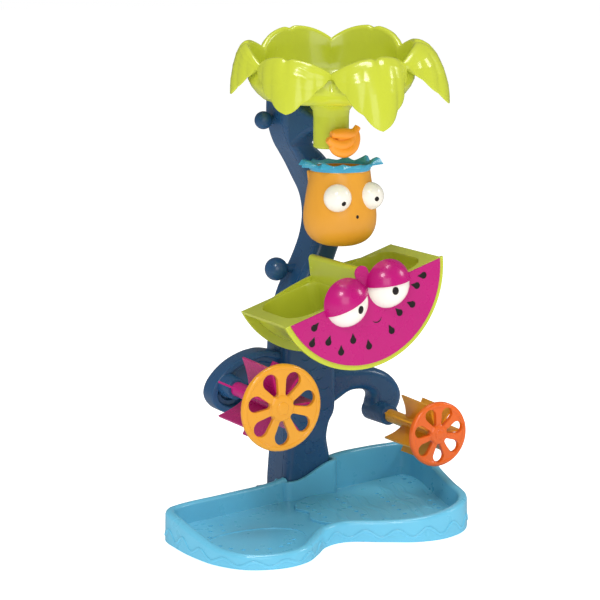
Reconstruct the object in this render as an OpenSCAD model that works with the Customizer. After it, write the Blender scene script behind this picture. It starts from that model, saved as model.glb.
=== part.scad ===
// Free-standing sand and water wheel tower: a palm tree with a leaf bowl, a tap,
// a tipping pineapple cup, a rocking melon trough and two paddle wheels over a tray.
// Millimetres, +Z up, +X to the right, the front faces -Y.
// The origin is on the ground under the foot of the trunk.

/* [Trunk] */
// Depth of the trunk from its front face to its back face
trunk_depth = 42; // [38:1:46]
// Rounding of the trunk's long edges
trunk_edge = 7; // [5:0.5:8]
// Wall thickness of the trunk shells
wall = 2.5; // [2:0.1:3]
// Depth of the two arms that carry the wheels
arm_depth = 22; // [18:1:26]

/* [Canopy] */
// Extra reach of every leaf tip
leaf_reach = 0; // [-6:1:6]
// Height of the leaf crests above the funnel outlet
crest_h = 64; // [58:1:68]
// Lean of the leaf rim in degrees
canopy_lean = 9.4; // [0:0.2:10]

/* [Tap] */
// Outer radius of the spout
spout_r = 15.5; // [14:0.5:16]
// Radius of the tap plug
plug_r = 6.45; // [5.5:0.05:7]

/* [Pineapple] */
// Widest radius of the pineapple cup
cup_r = 32; // [29:0.5:32]
// Number of points on the leaf collar
collar_leaves = 10; // [8:1:12]

/* [Melon] */
// Half length of the melon's straight top edge
melon_half = 81.5; // [76:0.5:84]
// Depth of the melon below its top edge
melon_deep = 67; // [62:1:70]
// Tilt of the melon at rest in degrees
melon_tilt = 17.5; // [14:0.5:20]

/* [Wheels] */
// Radius of the left wheel disc
left_wheel_r = 37.5; // [34:0.5:40]
// Radius of the right wheel disc
right_wheel_r = 29; // [26:0.5:31]
// Number of blades and of openings on each wheel
blade_count = 7; // [5:1:8]

/* [Tray] */
// Height of the tray floor above the ground
floor_z = 9.5; // [9:0.5:11]
// Width of the tray's rounded rim
rim_w = 8.5; // [7:0.5:10]

/* [Hidden] */
$fn = 64;

// Clearance of a turning fit, and of pieces that only rest beside each other
run_fit = 0.05;
gap = 0.4;
axle_r = 3;

// Trunk planes along Y
trunk_back = 20;
trunk_front = trunk_back - trunk_depth;
split_y = trunk_front + 9;
foot_z = 6;
arm_root = 26;
trunk_top = 380;
seat_z = 369;

// Trunk stations from foot to top: height, centre and half width
trunk_stations = [
    [foot_z, -2, 24.5], [22, -2, 24.3], [34, -2, 23.5], [47, -2, 22.5], [62, -3, 21], [76, -2, 22.5],
    [88, 0, arm_root], [144, 0, arm_root], [153, 0.5, 25.6], [162, 1.7, 25.2],
    [174, 2.8, 24.3], [186, 3, 22], [197, 3.2, 18.6], [212, 6.5, 14.5], [228, 13.5, 13], [246, 20.5, 13], [264, 23.5, 13.5],
    [282, 20.5, 13.5], [298, 13, 14], [311, 6.5, 14.5], [320, 0, 13.5], [329, -7.5, 11.5],
    [341, -12, 11.5], [354, -12.5, 13.5], [367, -12, 14], [trunk_top, -11.5, 14]];

// Places of what hangs on the front of the trunk, in X and Z
pineapple_pivot = [8, 298];
melon_drop = 30;
melon_pivot = [10.5, 183.6];
left_hub = [-78, 119];
right_hub = [79, 77];
work_y = -57;

// Canopy and tap places
spout_x = -1;
funnel_z = 357;
spout_low = 329.5;
tap_z = 341;

// Wheel planes along Y
disc_front = -110;
disc_t = 4.5;
hub_back = -28.5;
boss_front = -28;

// Melon planes along Y
melon_back = -28;
melon_front = -113;
flange_t = 4;

// Curve through hand-placed points
function curve_at(a, b, c, d, t) = 0.5 * (2 * b + (c - a) * t + (2 * a - 5 * b + 4 * c - d) * t * t
    + (3 * b - a - 3 * c + d) * t * t * t);
function closed_curve(p, n) = let (m = len(p)) [for (i = [0 : m - 1]) for (k = [0 : n - 1])
    curve_at(p[(i + m - 1) % m], p[i], p[(i + 1) % m], p[(i + 2) % m], k / n)];
function open_curve(p, n) = let (m = len(p) - 1) concat([for (i = [0 : m - 1]) for (k = [0 : n - 1])
    curve_at(p[max(i - 1, 0)], p[i], p[i + 1], p[min(i + 2, m)], k / n)], [p[m]]);

// Outline moved inwards by d, for points that run anticlockwise
function left_of(a, b) = [a[1] - b[1], b[0] - a[0]] / norm(b - a);
function inset(p, d) = let (m = len(p)) [for (i = [0 : m - 1])
    let (u = left_of(p[(i + m - 1) % m], p[i]), v = left_of(p[i], p[(i + 1) % m]))
    p[i] + d * (u + v) / (1 + u * v)];

// Points of a circular arc and of a rectangle with round corners
function arc(c, r, a0, a1, n) = [for (k = [0 : n]) let (a = a0 + (a1 - a0) * k / n)
    c + r * [cos(a), sin(a)]];
function round_rect(x0, y0, x1, y1, r) = concat(
    arc([x1 - r, y1 - r], r, 0, 90, 6), arc([x0 + r, y1 - r], r, 90, 180, 6),
    arc([x0 + r, y0 + r], r, 180, 270, 6), arc([x1 - r, y0 + r], r, 270, 360, 6));

// Outline drawn in X and Z, placed at one Y
function at_y(p, y) = [for (q = p) [q[0], y, q[1]]];

// Closed solid through a list of rings; a loop joins the last ring to the first.
// A ladder closes the ends rung by rung between the two sides of a long outline
module skin(rings, loop = false, ladder = false) {
    n = len(rings[0]);
    m = len(rings);
    sides = [for (j = [0 : loop ? m - 1 : m - 2]) for (i = [0 : n - 1])
        let (a = j * n + i, b = j * n + (i + 1) % n, k = (j + 1) % m * n)
        each [[a, b, k + (i + 1) % n], [a, k + (i + 1) % n, k + i]]];
    end = (m - 1) * n;
    caps = loop ? [] : ladder ? [for (i = [0 : n / 2 - 2])
            each [[n - 1 - i, n - 2 - i, i + 1, i], [end + i, end + i + 1, end + n - 2 - i, end + n - 1 - i]]]
        : [[for (i = [n - 1 : -1 : 0]) i], [for (i = [0 : n - 1]) end + i]];
    polyhedron([for (r = rings) each r], concat(sides, caps), convexity = 10);
}

// Drawing in X and Z made solid from y0 to y1
module along_y(y0, y1) {
    translate([0, y1, 0]) rotate([90, 0, 0]) linear_extrude(y1 - y0) children();
}

// Round bar along Y at a place given in X and Z
module bar_y(place, r, y0, y1, r_back = -1) {
    translate([place[0], y1, place[1]]) rotate([90, 0, 0])
        cylinder(r1 = r_back < 0 ? r : r_back, r2 = r, h = y1 - y0);
}

// Trunk outline in X and Z, anticlockwise seen from the front
trunk_outline = concat([for (s = trunk_stations) [s[1] + s[2], s[0]]],
    [for (i = [len(trunk_stations) - 1 : -1 : 0]) let (s = trunk_stations[i]) [s[1] - s[2], s[0]]]);

// One rounded half shell: face is the outer plane, lip the joint plane, way the direction inwards
module half_shell(face, lip, way) {
    inner = trunk_edge - wall;
    outside = [for (a = [0, 45, 90]) at_y(inset(trunk_outline, trunk_edge * (1 - sin(a))),
        face + way * trunk_edge * (1 - cos(a)))];
    inside = [for (a = [90, 45, 0]) at_y(inset(trunk_outline, wall + inner * (1 - sin(a))),
        face + way * (wall + inner * (1 - cos(a))))];
    rings = concat(outside, [at_y(trunk_outline, lip), at_y(inset(trunk_outline, wall), lip)], inside);
    skin(way > 0 ? rings : [for (i = [len(rings) - 1 : -1 : 0]) rings[i]], ladder = true);
}

// Screws that clamp the trunk shells, in X and Z
trunk_screw_places = [[-12.5, 350], [21, 254], [-10, 130], [-3, 60]];
screw_r = 1.5;
screw_head_r = 3;
boss_r = 4.5;
// Screws that hold the foot to the tray, in X and Y
foot_screw_places = [[-32, 8], [34, 14]];
foot_screw_len = 9;
foot_bore = 6.3;

// Slots where the arm tongues enter the trunk, as lowest and highest Z
right_tongue = [94, 116];
left_tongue = [106, 134];
tongue_in = 8;
tongue_half = 7;

module tongue_slot(side, span, play) {
    x0 = side > 0 ? arm_root - tongue_in : -arm_root - 2;
    translate([x0 - (side > 0 ? play : 0), -1 - tongue_half - play, span[0] - play])
        cube([tongue_in + 2 + play, 2 * (tongue_half + play), span[1] - span[0] + 2 * play]);
}

// Places where the ball pegs plug into the left side of the trunk
upper_peg = [-34.5, 4, 350];
lower_peg = [-22, 4, 216.5];
upper_ball_r = 8;
lower_ball_r = 10.5;
peg_neck_r = 4;

module peg_bore(place, reach, r) {
    translate(place) rotate([0, 90, 0]) cylinder(r = r, h = reach);
}

// Posts that stop the rocker at both ends of its swing
stop_r = 12;
stop_half_angle = melon_tilt + 22.8;
module rocker_stops() {
    for (s = [-1, 1])
        let (a = -90 + s * stop_half_angle)
        bar_y(melon_pivot + stop_r * [cos(a), sin(a)], 2, trunk_front - 4, trunk_front + 1.5);
}

// Room for the underside of the leaf bowl on top of the trunk
bowl_flat_r = 52;
bowl_flank = [64, 20.5];
bowl_wide = [71.5, 33];
module bowl_space() {
    translate([spout_x, work_y, seat_z]) {
        cylinder(r1 = bowl_flat_r + 0.3, r2 = bowl_flank[0] + 0.3, h = bowl_flank[1] - bowl_z);
        translate([0, 0, bowl_flank[1] - bowl_z - 0.01])
            cylinder(r1 = bowl_flank[0] + 0.3, r2 = bowl_wide[0] + 0.3, h = bowl_wide[1] - bowl_flank[1]);
    }
}

module trunk_front_shell() {
    color("#2b5577") difference() {
        union() {
            half_shell(trunk_front, split_y, 1);
            for (p = trunk_screw_places) bar_y(p, boss_r, trunk_front + 1.5, split_y);
            for (p = [pineapple_pivot, melon_pivot]) bar_y(p, 6, trunk_front + 1.5, split_y);
            rocker_stops();
        }
        for (p = trunk_screw_places) bar_y(p, screw_r + run_fit, trunk_front + 3, split_y + 1);
        for (p = [pineapple_pivot, melon_pivot]) bar_y(p, axle_r + run_fit, trunk_front - 1, split_y + 1);
        bowl_space();
    }
}

// Foot that stands behind the tray, drawn in X and Y
foot_plan = [[-38, -11], [-27, -8], [23, 1], [44, 5], [44, 20], [38, 26], [-32, 26], [-38, 20]];
foot_top = 13;
head_y = trunk_back - 3.5;

module trunk_rear_shell() {
    color("#2b5577") difference() {
        union() {
            half_shell(trunk_back, split_y, -1);
            for (p = trunk_screw_places) bar_y(p, boss_r, split_y, trunk_back - 1.5);
            for (p = [pineapple_pivot, melon_pivot]) bar_y(p, 6, split_y, trunk_back - 1.5);
            translate([0, 0, foot_z]) linear_extrude(foot_top - foot_z) polygon(foot_plan);
        }
        for (p = trunk_screw_places) {
            bar_y(p, screw_r + 0.2, split_y - 1, trunk_back + 1);
            bar_y(p, screw_head_r + 0.2, head_y, trunk_back + 1);
        }
        for (p = [pineapple_pivot, melon_pivot]) bar_y(p, axle_r + run_fit, split_y - 1, trunk_back - 6);
        for (p = foot_screw_places)
            translate([p[0], p[1], foot_z - 1]) cylinder(r = screw_r + run_fit, h = foot_bore);
        peg_bore(upper_peg, 14, peg_neck_r + run_fit);
        peg_bore(lower_peg, 24, peg_neck_r + run_fit);
        bowl_space();
        tongue_slot(1, right_tongue, run_fit);
        tongue_slot(-1, left_tongue, run_fit);
    }
}

module trunk_screws() {
    color("silver") for (p = trunk_screw_places) {
        bar_y(p, screw_r, trunk_front + 3.5, head_y + 0.5);
        bar_y(p, screw_head_r, head_y + 0.1, head_y + 2.5);
    }
}

module foot_screws() {
    color("silver") for (p = foot_screw_places) translate([p[0], p[1], 0]) {
        translate([0, 0, 1.5]) cylinder(r = screw_r, h = foot_screw_len);
        translate([0, 0, 0.6]) cylinder(r = screw_head_r, h = 2);
    }
}

// Outline of an arm moved inwards; the root stays against the trunk and only gets lower
function arm_ring(p, d) = let (q = inset(p, d), mid = (p[0][1] + p[len(p) - 1][1]) / 2) [for (i = [0 : len(p) - 1])
    abs(p[i][0]) > arm_root ? q[i] : [p[i][0], p[i][1] + (p[i][1] > mid ? -d : d)]];

// Rounded plate of one arm from its outline in X and Z
module arm_plate(outline, edge) {
    back = -1 + arm_depth / 2;
    front = -1 - arm_depth / 2;
    near = [for (a = [0, 45, 90]) at_y(arm_ring(outline, edge * (1 - sin(a))), front + edge * (1 - cos(a)))];
    far = [for (a = [90, 45, 0]) at_y(arm_ring(outline, edge * (1 - sin(a))), back - edge * (1 - cos(a)))];
    skin(concat(near, far));
}

// Arm outlines from the root, along the underside, round the curl and back along the top
right_arm_line = [[46, 98], [57, 99.5], [66, 97.5], [71, 92], [69.5, 84], [70.5, 75], [77, 69],
    [86, 68.5], [95, 72.5], [101, 81], [103, 91], [99.5, 101], [92, 109.5], [81, 116], [67, 120], [50, 121.5]];
right_arm_outline = concat([[arm_root, 87], [35, 92]], open_curve(right_arm_line, 2),
    [[37, 122], [arm_root, 121.5]]);
left_arm_line = [[-50, 146.5], [-62, 143.5], [-74, 138], [-85, 129.5], [-92.5, 120], [-95, 110.5],
    [-92, 102], [-85, 96], [-76, 93.5], [-67, 95.5], [-60, 101], [-53, 105], [-45, 104]];
left_arm_outline = concat([[-arm_root, 144], [-37, 146]], open_curve(left_arm_line, 2),
    [[-35, 100], [-arm_root, 94]]);
arm_edge = 6;

module arm(side, outline, hub, span, boss_far_r) {
    difference() {
        union() {
            arm_plate(outline, arm_edge);
            bar_y(hub, 9.5, boss_front, arm_depth / 2 - 3, boss_far_r);
            translate([side > 0 ? arm_root - tongue_in : -arm_root - 4, -1 - tongue_half, span[0]])
                cube([tongue_in + 4, 2 * tongue_half, span[1] - span[0]]);
        }
        bar_y(hub, axle_r + run_fit, boss_front - 1, arm_depth / 2 - 5);
    }
}

module right_arm() {
    color("#2b5577") arm(1, right_arm_outline, right_hub, right_tongue, 10.5);
}

module left_arm() {
    color("#2b5577") arm(-1, left_arm_outline, left_hub, left_tongue, 12);
}

// Ball and neck turned in one piece about the peg's own axis
module ball_peg(place, ball_r, reach) {
    translate(place) rotate([0, 90, 0]) rotate_extrude() polygon(concat(
        arc([0, 0], ball_r, -90, acos(peg_neck_r / ball_r), 20), [[peg_neck_r, reach], [0, reach]]));
}

module upper_ball_peg() {
    color("#2b5577") ball_peg(upper_peg, upper_ball_r, 13);
}

module lower_ball_peg() {
    color("#2b5577") ball_peg(lower_peg, lower_ball_r, 23);
}

// Bracket between the trunk and the back of the spout
module canopy_bracket() {
    color("#2b5577") difference() {
        translate([0, 0, 345]) linear_extrude(11) polygon(round_rect(-18, work_y + 8, 9, trunk_front, 3));
        translate([spout_x, work_y, 340]) cylinder(r = spout_r + run_fit, h = 20);
    }
}

// Leaf bowl. v is 0 on a leaf's midrib and 1 in the valley between two leaves
ring_steps = 12;
bowl_z = seat_z - funnel_z;
valley_drop = 12;
rib_drop = 5;
leaf_t = 2;
lean_way = 237;
// Leaves from the front one, anticlockwise: tip radius, tip height and sideways turn of the tip
leaf_tips = [[97, 9, -3.5], [102, 10, 1], [96, 14, 0], [92, 16, 0], [87, 22, 6], [86, 21, 4]];
function leaf_v(i) = let (p = (i % ring_steps) / ring_steps) 2 * min(p, 1 - p);
function leaf_tip(i) = leaf_tips[floor((i + ring_steps / 2) / ring_steps) % len(leaf_tips)];
function crest_z(v) = crest_h - valley_drop * pow(v, 2.2) - rib_drop * exp(-pow(v / 0.18, 2));
function crest_r(v) = 73 - 4 * v * v;
function edge_z(v, tip) = tip[1] + (crest_z(1) - 4 - tip[1]) * pow(v, 1.25);
function edge_r(v, tip) = tip[0] + leaf_reach - (tip[0] + leaf_reach - bowl_wide[0]) * pow(v, 1.15);
function drop_at(v, tip, t, off) = [
    crest_r(v) + (edge_r(v, tip) - crest_r(v)) * sin(90 * t) - off,
    crest_z(v) + (edge_z(v, tip) - crest_z(v)) * (1 - cos(90 * t)) - off, 1, tip[2] * (1 - v) * t];

// Bowl profile at v: radius, height, share of the lean and sideways turn
function bowl_profile(v, tip) = [
    [12, 0, 0, 0], [13, 6, 0, 0], [24, bowl_z + 2.5, 0, 0], [50, bowl_z + 3, 0, 0],
    [bowl_flank[0] - 3, bowl_flank[1] + 2, 0.2, 0], [bowl_wide[0] - 3, bowl_wide[1] + 1, 0.6, 0],
    [crest_r(v) - 4, crest_z(v) - 3, 1, 0], [crest_r(v), crest_z(v), 1, 0],
    for (t = [0.35, 0.6, 0.82, 1]) drop_at(v, tip, t, 0),
    [edge_r(v, tip) - leaf_t, edge_z(v, tip) + 0.5, 1, tip[2] * (1 - v)],
    for (t = [0.82, 0.6, 0.35]) drop_at(v, tip, t, leaf_t),
    [crest_r(v) - 1, crest_z(v) - 6, 1, 0], [bowl_wide[0], bowl_wide[1], 0.6, 0],
    [bowl_flank[0], bowl_flank[1], 0.2, 0], [bowl_flat_r, bowl_z, 0, 0], [26, bowl_z, 0, 0],
    [spout_r, 5, 0, 0], [spout_r, 0, 0, 0]];

module leaf_canopy() {
    count = len(leaf_tips) * ring_steps;
    profiles = [for (i = [0 : count - 1]) bowl_profile(leaf_v(i), leaf_tip(i))];
    rings = [for (k = [0 : len(profiles[0]) - 1]) [for (i = [0 : count - 1])
        let (q = profiles[i][k], a = 270 + i * 360 / count + q[3])
        [q[0] * cos(a), q[0] * sin(a), q[1] - q[2] * tan(canopy_lean) * q[0] * cos(a - lean_way)]]];
    color("#b5d433") translate([spout_x, work_y, funnel_z]) skin(rings, true);
}

// Spout: a barrel with a waterway and a cross bore for the tap plug
waterway_r = 4.5;
plug_back = work_y + 14;
module spout() {
    color("#b5d433") translate([spout_x, work_y, 0]) difference() {
        rotate_extrude() polygon(concat([[0, spout_low]],
            arc([spout_r - 2.5, spout_low + 2.5], 2.5, 270, 360, 6), [[spout_r, funnel_z], [0, funnel_z]]));
        translate([0, 0, spout_low - 1]) cylinder(r = waterway_r, h = funnel_z);
        translate([0, 0, funnel_z - 7]) cylinder(r1 = waterway_r, r2 = 12, h = 7.01);
        translate([0, 0, spout_low - 0.01]) cylinder(r1 = 11.5, r2 = waterway_r, h = 3);
        bar_y([0, tap_z], plug_r + run_fit, -spout_r - 1, plug_back - work_y);
    }
}

module tap_plug() {
    color("#f5922f") difference() {
        bar_y([spout_x, tap_z], plug_r, work_y - spout_r - 0.8, plug_back - 0.3);
        translate([spout_x - 10, work_y, tap_z]) rotate([0, 90, 0]) cylinder(r = waterway_r, h = 20);
    }
}

// Three bananas that share a stem, as curved bodies in a plane in front of the spout
banana_r = 4.3;
banana_sides = 8;
banana_y = work_y - spout_r - 1 - banana_r;
banana_lines = [
    [[11, 347], [11.5, 337], [6, 328.5], [-2.5, 326], [-10, 329]],
    [[8.5, 344.5], [8, 338], [2, 333], [-6, 332.5], [-14.5, 336.5]],
    [[7, 343.5], [3, 341], [-4, 341], [-11, 341.5], [-16, 340]]];
module banana(line) {
    way = [for (q = open_curve(line, 2)) q];
    last = len(way) - 1;
    skin([for (k = [0 : last])
        let (d = way[min(k + 1, last)] - way[max(k - 1, 0)], n = [-d[1], d[0]] / norm(d),
            r = banana_r * (0.4 + 0.6 * pow(sin(180 * (k + 0.6) / (last + 1.2)), 0.7)))
        [for (j = [0 : banana_sides - 1]) let (a = 360 * j / banana_sides)
            [way[k][0] + r * cos(a) * n[0], banana_y + r * sin(a), way[k][1] + r * cos(a) * n[1]]]]);
}

module banana_knob() {
    color("#f5922f") {
        for (line = banana_lines) banana(line);
        bar_y([spout_x, tap_z], plug_r, banana_y, work_y - spout_r - 0.8);
        translate([10.5, banana_y, 345]) rotate([0, 25, 0]) cylinder(r1 = 2.8, r2 = 2.2, h = 6);
    }
}

// Pineapple cup: an outer profile and an inner one, radius and height
cup_low = 244;
cup_shoulder = 308;
neck_r = 24;
neck_top = 313;
cup_wall = 2.4;
function cup_outside() = open_curve([[0.01, cup_low], [14, cup_low + 1], [24.5, cup_low + 6],
    [30.5, cup_low + 15], [cup_r, cup_low + 27], [30, cup_low + 43], [27.2, cup_low + 57],
    [26.4, cup_shoulder]], 4);
function cup_inside() = open_curve([[22, neck_top], [23, cup_shoulder - 2], [25, cup_shoulder - 12],
    [cup_r - cup_wall - 1, cup_low + 30], [28, cup_low + 18], [20, cup_low + 9.5], [0.01, cup_low + 8]], 4);

// Places of the eyes round the cup, as angles from the front
eye_spread = 34;
eye_z = 289;
eye_seat = 28;
eye_r = 12;
module at_eye(side) {
    translate([pineapple_pivot[0], work_y, eye_z]) rotate([0, 0, side * eye_spread]) rotate([90, 0, 0])
        children();
}

cup_hub_front = work_y + 18;
cup_hub_back = trunk_front - 2;
module pineapple_cup() {
    color("#f7b02c") difference() {
        union() {
            difference() {
                translate([pineapple_pivot[0], work_y, 0]) rotate_extrude()
                    polygon(concat([[0, cup_low]], cup_outside(), [[neck_r, cup_shoulder], [neck_r, neck_top],
                        [0, neck_top]]));
                for (s = [-1, 1]) at_eye(s) translate([0, 0, eye_seat]) cylinder(r = eye_r + 0.3, h = 20);
                translate([pineapple_pivot[0], work_y, 0]) rotate_extrude()
                    polygon(concat([[0, neck_top + 1], [22, neck_top + 1]], cup_inside(), [[0, cup_low + 8]]));
            }
            for (s = [-1, 1]) at_eye(s) translate([0, 0, eye_seat - 4]) cylinder(r = eye_r - 1, h = 4);
            bar_y(pineapple_pivot, 6.5, cup_hub_front, cup_hub_back);
        }
        bar_y(pineapple_pivot, axle_r + run_fit, cup_hub_front + 2, cup_hub_back + 1);
    }
}

// Leaf collar round the neck of the cup
collar_tip_r = 33;
collar_steps = 6;
function collar_profile(v) = let (tip = 26.4 + (collar_tip_r - 26.4) * pow(1 - v, 0.8)) [
    [neck_r + 0.1, 0], [neck_r + 0.1, 6.5], [25.6, 8], [25.6 + 0.6 * (tip - 25.6), 9], [tip, 7.5],
    [tip - 0.4, 6], [26.6 + 0.45 * (tip - 26.6), 6], [26.6, 3], [26.6, 0]];

module pineapple_collar() {
    count = collar_leaves * collar_steps;
    profiles = [for (i = [0 : count - 1])
        let (p = (i % collar_steps) / collar_steps) collar_profile(2 * min(p, 1 - p))];
    rings = [for (k = [0 : len(profiles[0]) - 1]) [for (i = [0 : count - 1])
        let (a = i * 360 / count, q = profiles[i][k]) [q[0] * cos(a), q[0] * sin(a), q[1]]]];
    color("#2f93a8") translate([pineapple_pivot[0], work_y, cup_shoulder])
        skin(rings, true);
}

module pineapple_eye(side) {
    color("white") at_eye(side) intersection() {
        translate([0, 0, eye_seat + 1]) sphere(r = eye_r);
        translate([-20, -20, eye_seat]) cube([40, 40, 20]);
    }
}

module pineapple_left_eye() { pineapple_eye(-1); }
module pineapple_right_eye() { pineapple_eye(1); }

module pineapple_axle() {
    color("silver") bar_y(pineapple_pivot, axle_r, cup_hub_front + 3, trunk_back - 7);
}

// Melon frame: the origin is the middle of the straight top edge, X along it, Z up from it
module in_melon() {
    translate([melon_pivot[0], 0, melon_pivot[1]]) rotate([0, -melon_tilt, 0])
        translate([0, 0, melon_drop]) children();
}

// Circle whose segment has the melon's half length and depth
melon_arc_r = (melon_half * melon_half + melon_deep * melon_deep) / (2 * melon_deep);
melon_arc_z = melon_arc_r - melon_deep;

// Segment below the top edge, smaller by less, in X and Z
module melon_segment(less) {
    intersection() {
        translate([0, melon_arc_z]) circle(r = melon_arc_r - less);
        translate([-100, -100]) square([200, 100]);
    }
}

fin_half = 7;
fin_top = 22;
body_less = 9;
pocket_end = 68;
module melon_trough() {
    color("#b5d433") in_melon() difference() {
        union() {
            along_y(melon_front, melon_front + flange_t) melon_segment(0);
            along_y(melon_back - 3, melon_back) union() {
                melon_segment(1.5);
                intersection() {
                    translate([0, 4 - 266]) circle(r = 266, $fn = 128);
                    translate([-60, -10]) square([120, 20]);
                }
            }
            along_y(melon_front + flange_t, melon_back - 3) melon_segment(body_less);
            along_y(melon_front + flange_t, melon_back - 3) translate([-melon_half + 2, -3])
                square([2 * melon_half - 4, 3]);
            along_y(melon_front, melon_back - 3)
                polygon(concat([[-fin_half, -2], [fin_half, -2]], arc([0, fin_top - 4], 4, 0, 180, 8)));
            bar_y([0, -melon_drop], 8, melon_back - 3, trunk_front - 2);
            translate([0, 0, -melon_drop]) along_y(trunk_front - 5, trunk_front - 2)
                polygon([[-2.5, 0], [-2.5, -14], [2.5, -14], [2.5, 0]]);
        }
        for (s = [-1, 1])
            along_y(melon_front + flange_t + 3, melon_back - 6) intersection() {
                translate([0, melon_arc_z]) circle(r = melon_arc_r - body_less - 3);
                translate([s > 0 ? fin_half : -pocket_end, -100]) square([pocket_end - fin_half, 101]);
            }
        along_y(melon_front + flange_t, melon_back - 3) difference() {
            polygon([[-fin_half + 2.5, -80], [fin_half - 2.5, -80], [2, fin_top - 3], [-2, fin_top - 3]]);
            translate([0, -melon_drop]) circle(r = 6);
        }
        bar_y([0, -melon_drop], axle_r + run_fit, melon_front + 20, 0);
    }
}

face_t = 1.6;
face_rim = 4.5;
module melon_face() {
    color("#d0148c") in_melon() difference() {
        along_y(melon_front - face_t, melon_front) union() {
            melon_segment(face_rim);
            translate([-6.5, -5]) square([13, 22]);
            translate([0, 17]) circle(r = 6.5);
        }
        for (q = seed_places) translate([0, 0, 0]) seed_solid(q, 0.12);
    }
}

// Seeds on the face: place along the edge, height and turn of the pointed end
seed_places = [[-57, -10, 62], [-63, -22, 40], [-48, -27, 35], [-39, -40, 18], [-25, -35, 14],
    [-12, -46, 6], [13, -42, -12], [25, -30, -28], [39, -28, -50], [48, -14, -60], [57, -8, -75]];
seed_r = 2.3;
seed_len = 5;
module seed_solid(q, play) {
    translate([q[0], 0, q[1]]) rotate([0, q[2], 0]) along_y(melon_front - face_t - 0.4, melon_front - 0.8 + play)
        union() {
            circle(r = seed_r + play);
            polygon([[-seed_r - play, 0], [0, seed_len + play], [seed_r + play, 0]]);
        }
}

module melon_seeds() {
    color("#26262b") in_melon() for (q = seed_places) seed_solid(q, 0);
}

// Bulging eyes on the melon's face, with a lid over the upper part of each
melon_eye_x = 21.5;
melon_eye_z = -2;
melon_eye_r = 20.4;
lid_t = 1.6;
lid_slope = 10;
module at_melon_eye(side) {
    in_melon() translate([side * melon_eye_x, melon_front - face_t, melon_eye_z]) children();
}

// Ball sunk so that its cap has the eye's radius on the face
eye_ball_r = 21.2;
eye_sink = sqrt(eye_ball_r * eye_ball_r - melon_eye_r * melon_eye_r);
module eye_cap(more) {
    intersection() {
        translate([0, eye_sink, 0]) sphere(r = eye_ball_r + more);
        translate([-40, -40, -40]) cube([80, 40, 80]);
    }
}

module above_lid_line(side, shift) {
    rotate([0, side * lid_slope, 0]) translate([-40, -60, shift]) cube([80, 80, 40]);
}

module melon_eye(side) {
    color("white") at_melon_eye(side) eye_cap(0);
}

module melon_lid(side) {
    color("#d0148c") at_melon_eye(side) difference() {
        intersection() {
            eye_cap(lid_t);
            above_lid_line(side, -3);
        }
        eye_cap(run_fit);
        translate([side > 0 ? -40 - melon_eye_x + 0.3 : melon_eye_x - 0.3, -60, -40]) cube([40, 80, 80]);
    }
}

module melon_left_eye() { melon_eye(-1); }
module melon_right_eye() { melon_eye(1); }
module melon_left_lid() { melon_lid(-1); }
module melon_right_lid() { melon_lid(1); }

module melon_axle() {
    color("silver") bar_y(melon_pivot, axle_r, melon_front + 21, trunk_back - 7);
}

// Drop-shaped opening between two spokes, wide end outwards, drawn along +X
module drop_opening(r_in, r_out, tip, bulb) {
    translate([r_out - bulb, 0]) circle(r = bulb);
    translate([r_in + tip, 0]) circle(r = tip);
    polygon([[r_in + tip, -tip], [r_out - bulb, -bulb], [r_out - bulb, bulb], [r_in + tip, tip]]);
}

module wheel_disc(hub, r) {
    difference() {
        union() {
            bar_y(hub, r, disc_front, disc_front + disc_t);
            bar_y(hub, 0.3 * r - 2, disc_front - 1.5, disc_front, 0.3 * r);
        }
        translate([hub[0], 0, hub[1]]) along_y(disc_front - 3, disc_front + disc_t + 1)
            for (i = [0 : blade_count - 1]) rotate(90 + (i + 0.5) * 360 / blade_count)
                drop_opening(0.3 * r, 0.86 * r, 0.07 * r, 0.185 * r);
    }
}

// Blade in radius and distance behind the disc, with a slightly hollow back edge
blade_hollow = 0.06;
function blade_outline(r_hub, r_tip, reach) = concat([[r_hub - 1, 0], [r_tip - 1, 0], [r_tip, reach]],
    [for (k = [1 : 6]) let (s = k / 6)
        [r_tip + (r_hub - 1 - r_tip) * s, reach - blade_hollow * reach * sin(180 * s)]]);

module wheel_paddle(hub, r, reach, hub_r) {
    back_of_disc = disc_front + disc_t;
    difference() {
        union() {
            bar_y(hub, hub_r, back_of_disc, hub_back);
            translate([hub[0], back_of_disc, hub[1]])
                for (i = [0 : blade_count - 1]) rotate([0, i * 360 / blade_count, 0])
                    translate([0, 0, -0.9]) linear_extrude(1.8) polygon(blade_outline(hub_r, r - 2.5, reach));
        }
        bar_y(hub, axle_r + run_fit, back_of_disc + 2, hub_back + 1);
    }
}

module wheel_axle(hub) {
    bar_y(hub, axle_r, disc_front + disc_t + 3, arm_depth / 2 - 6);
}

module left_wheel_disc() { color("#fbb034") wheel_disc(left_hub, left_wheel_r); }
module left_wheel_paddle() { color("#d0148c") wheel_paddle(left_hub, left_wheel_r, 52, 6.5); }
module left_wheel_axle() { color("silver") wheel_axle(left_hub); }
module right_wheel_disc() { color("#f0762a") wheel_disc(right_hub, right_wheel_r); }
module right_wheel_paddle() { color("#fbb034") wheel_paddle(right_hub, right_wheel_r, 48, 6); }
module right_wheel_axle() { color("silver") wheel_axle(right_hub); }

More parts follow.
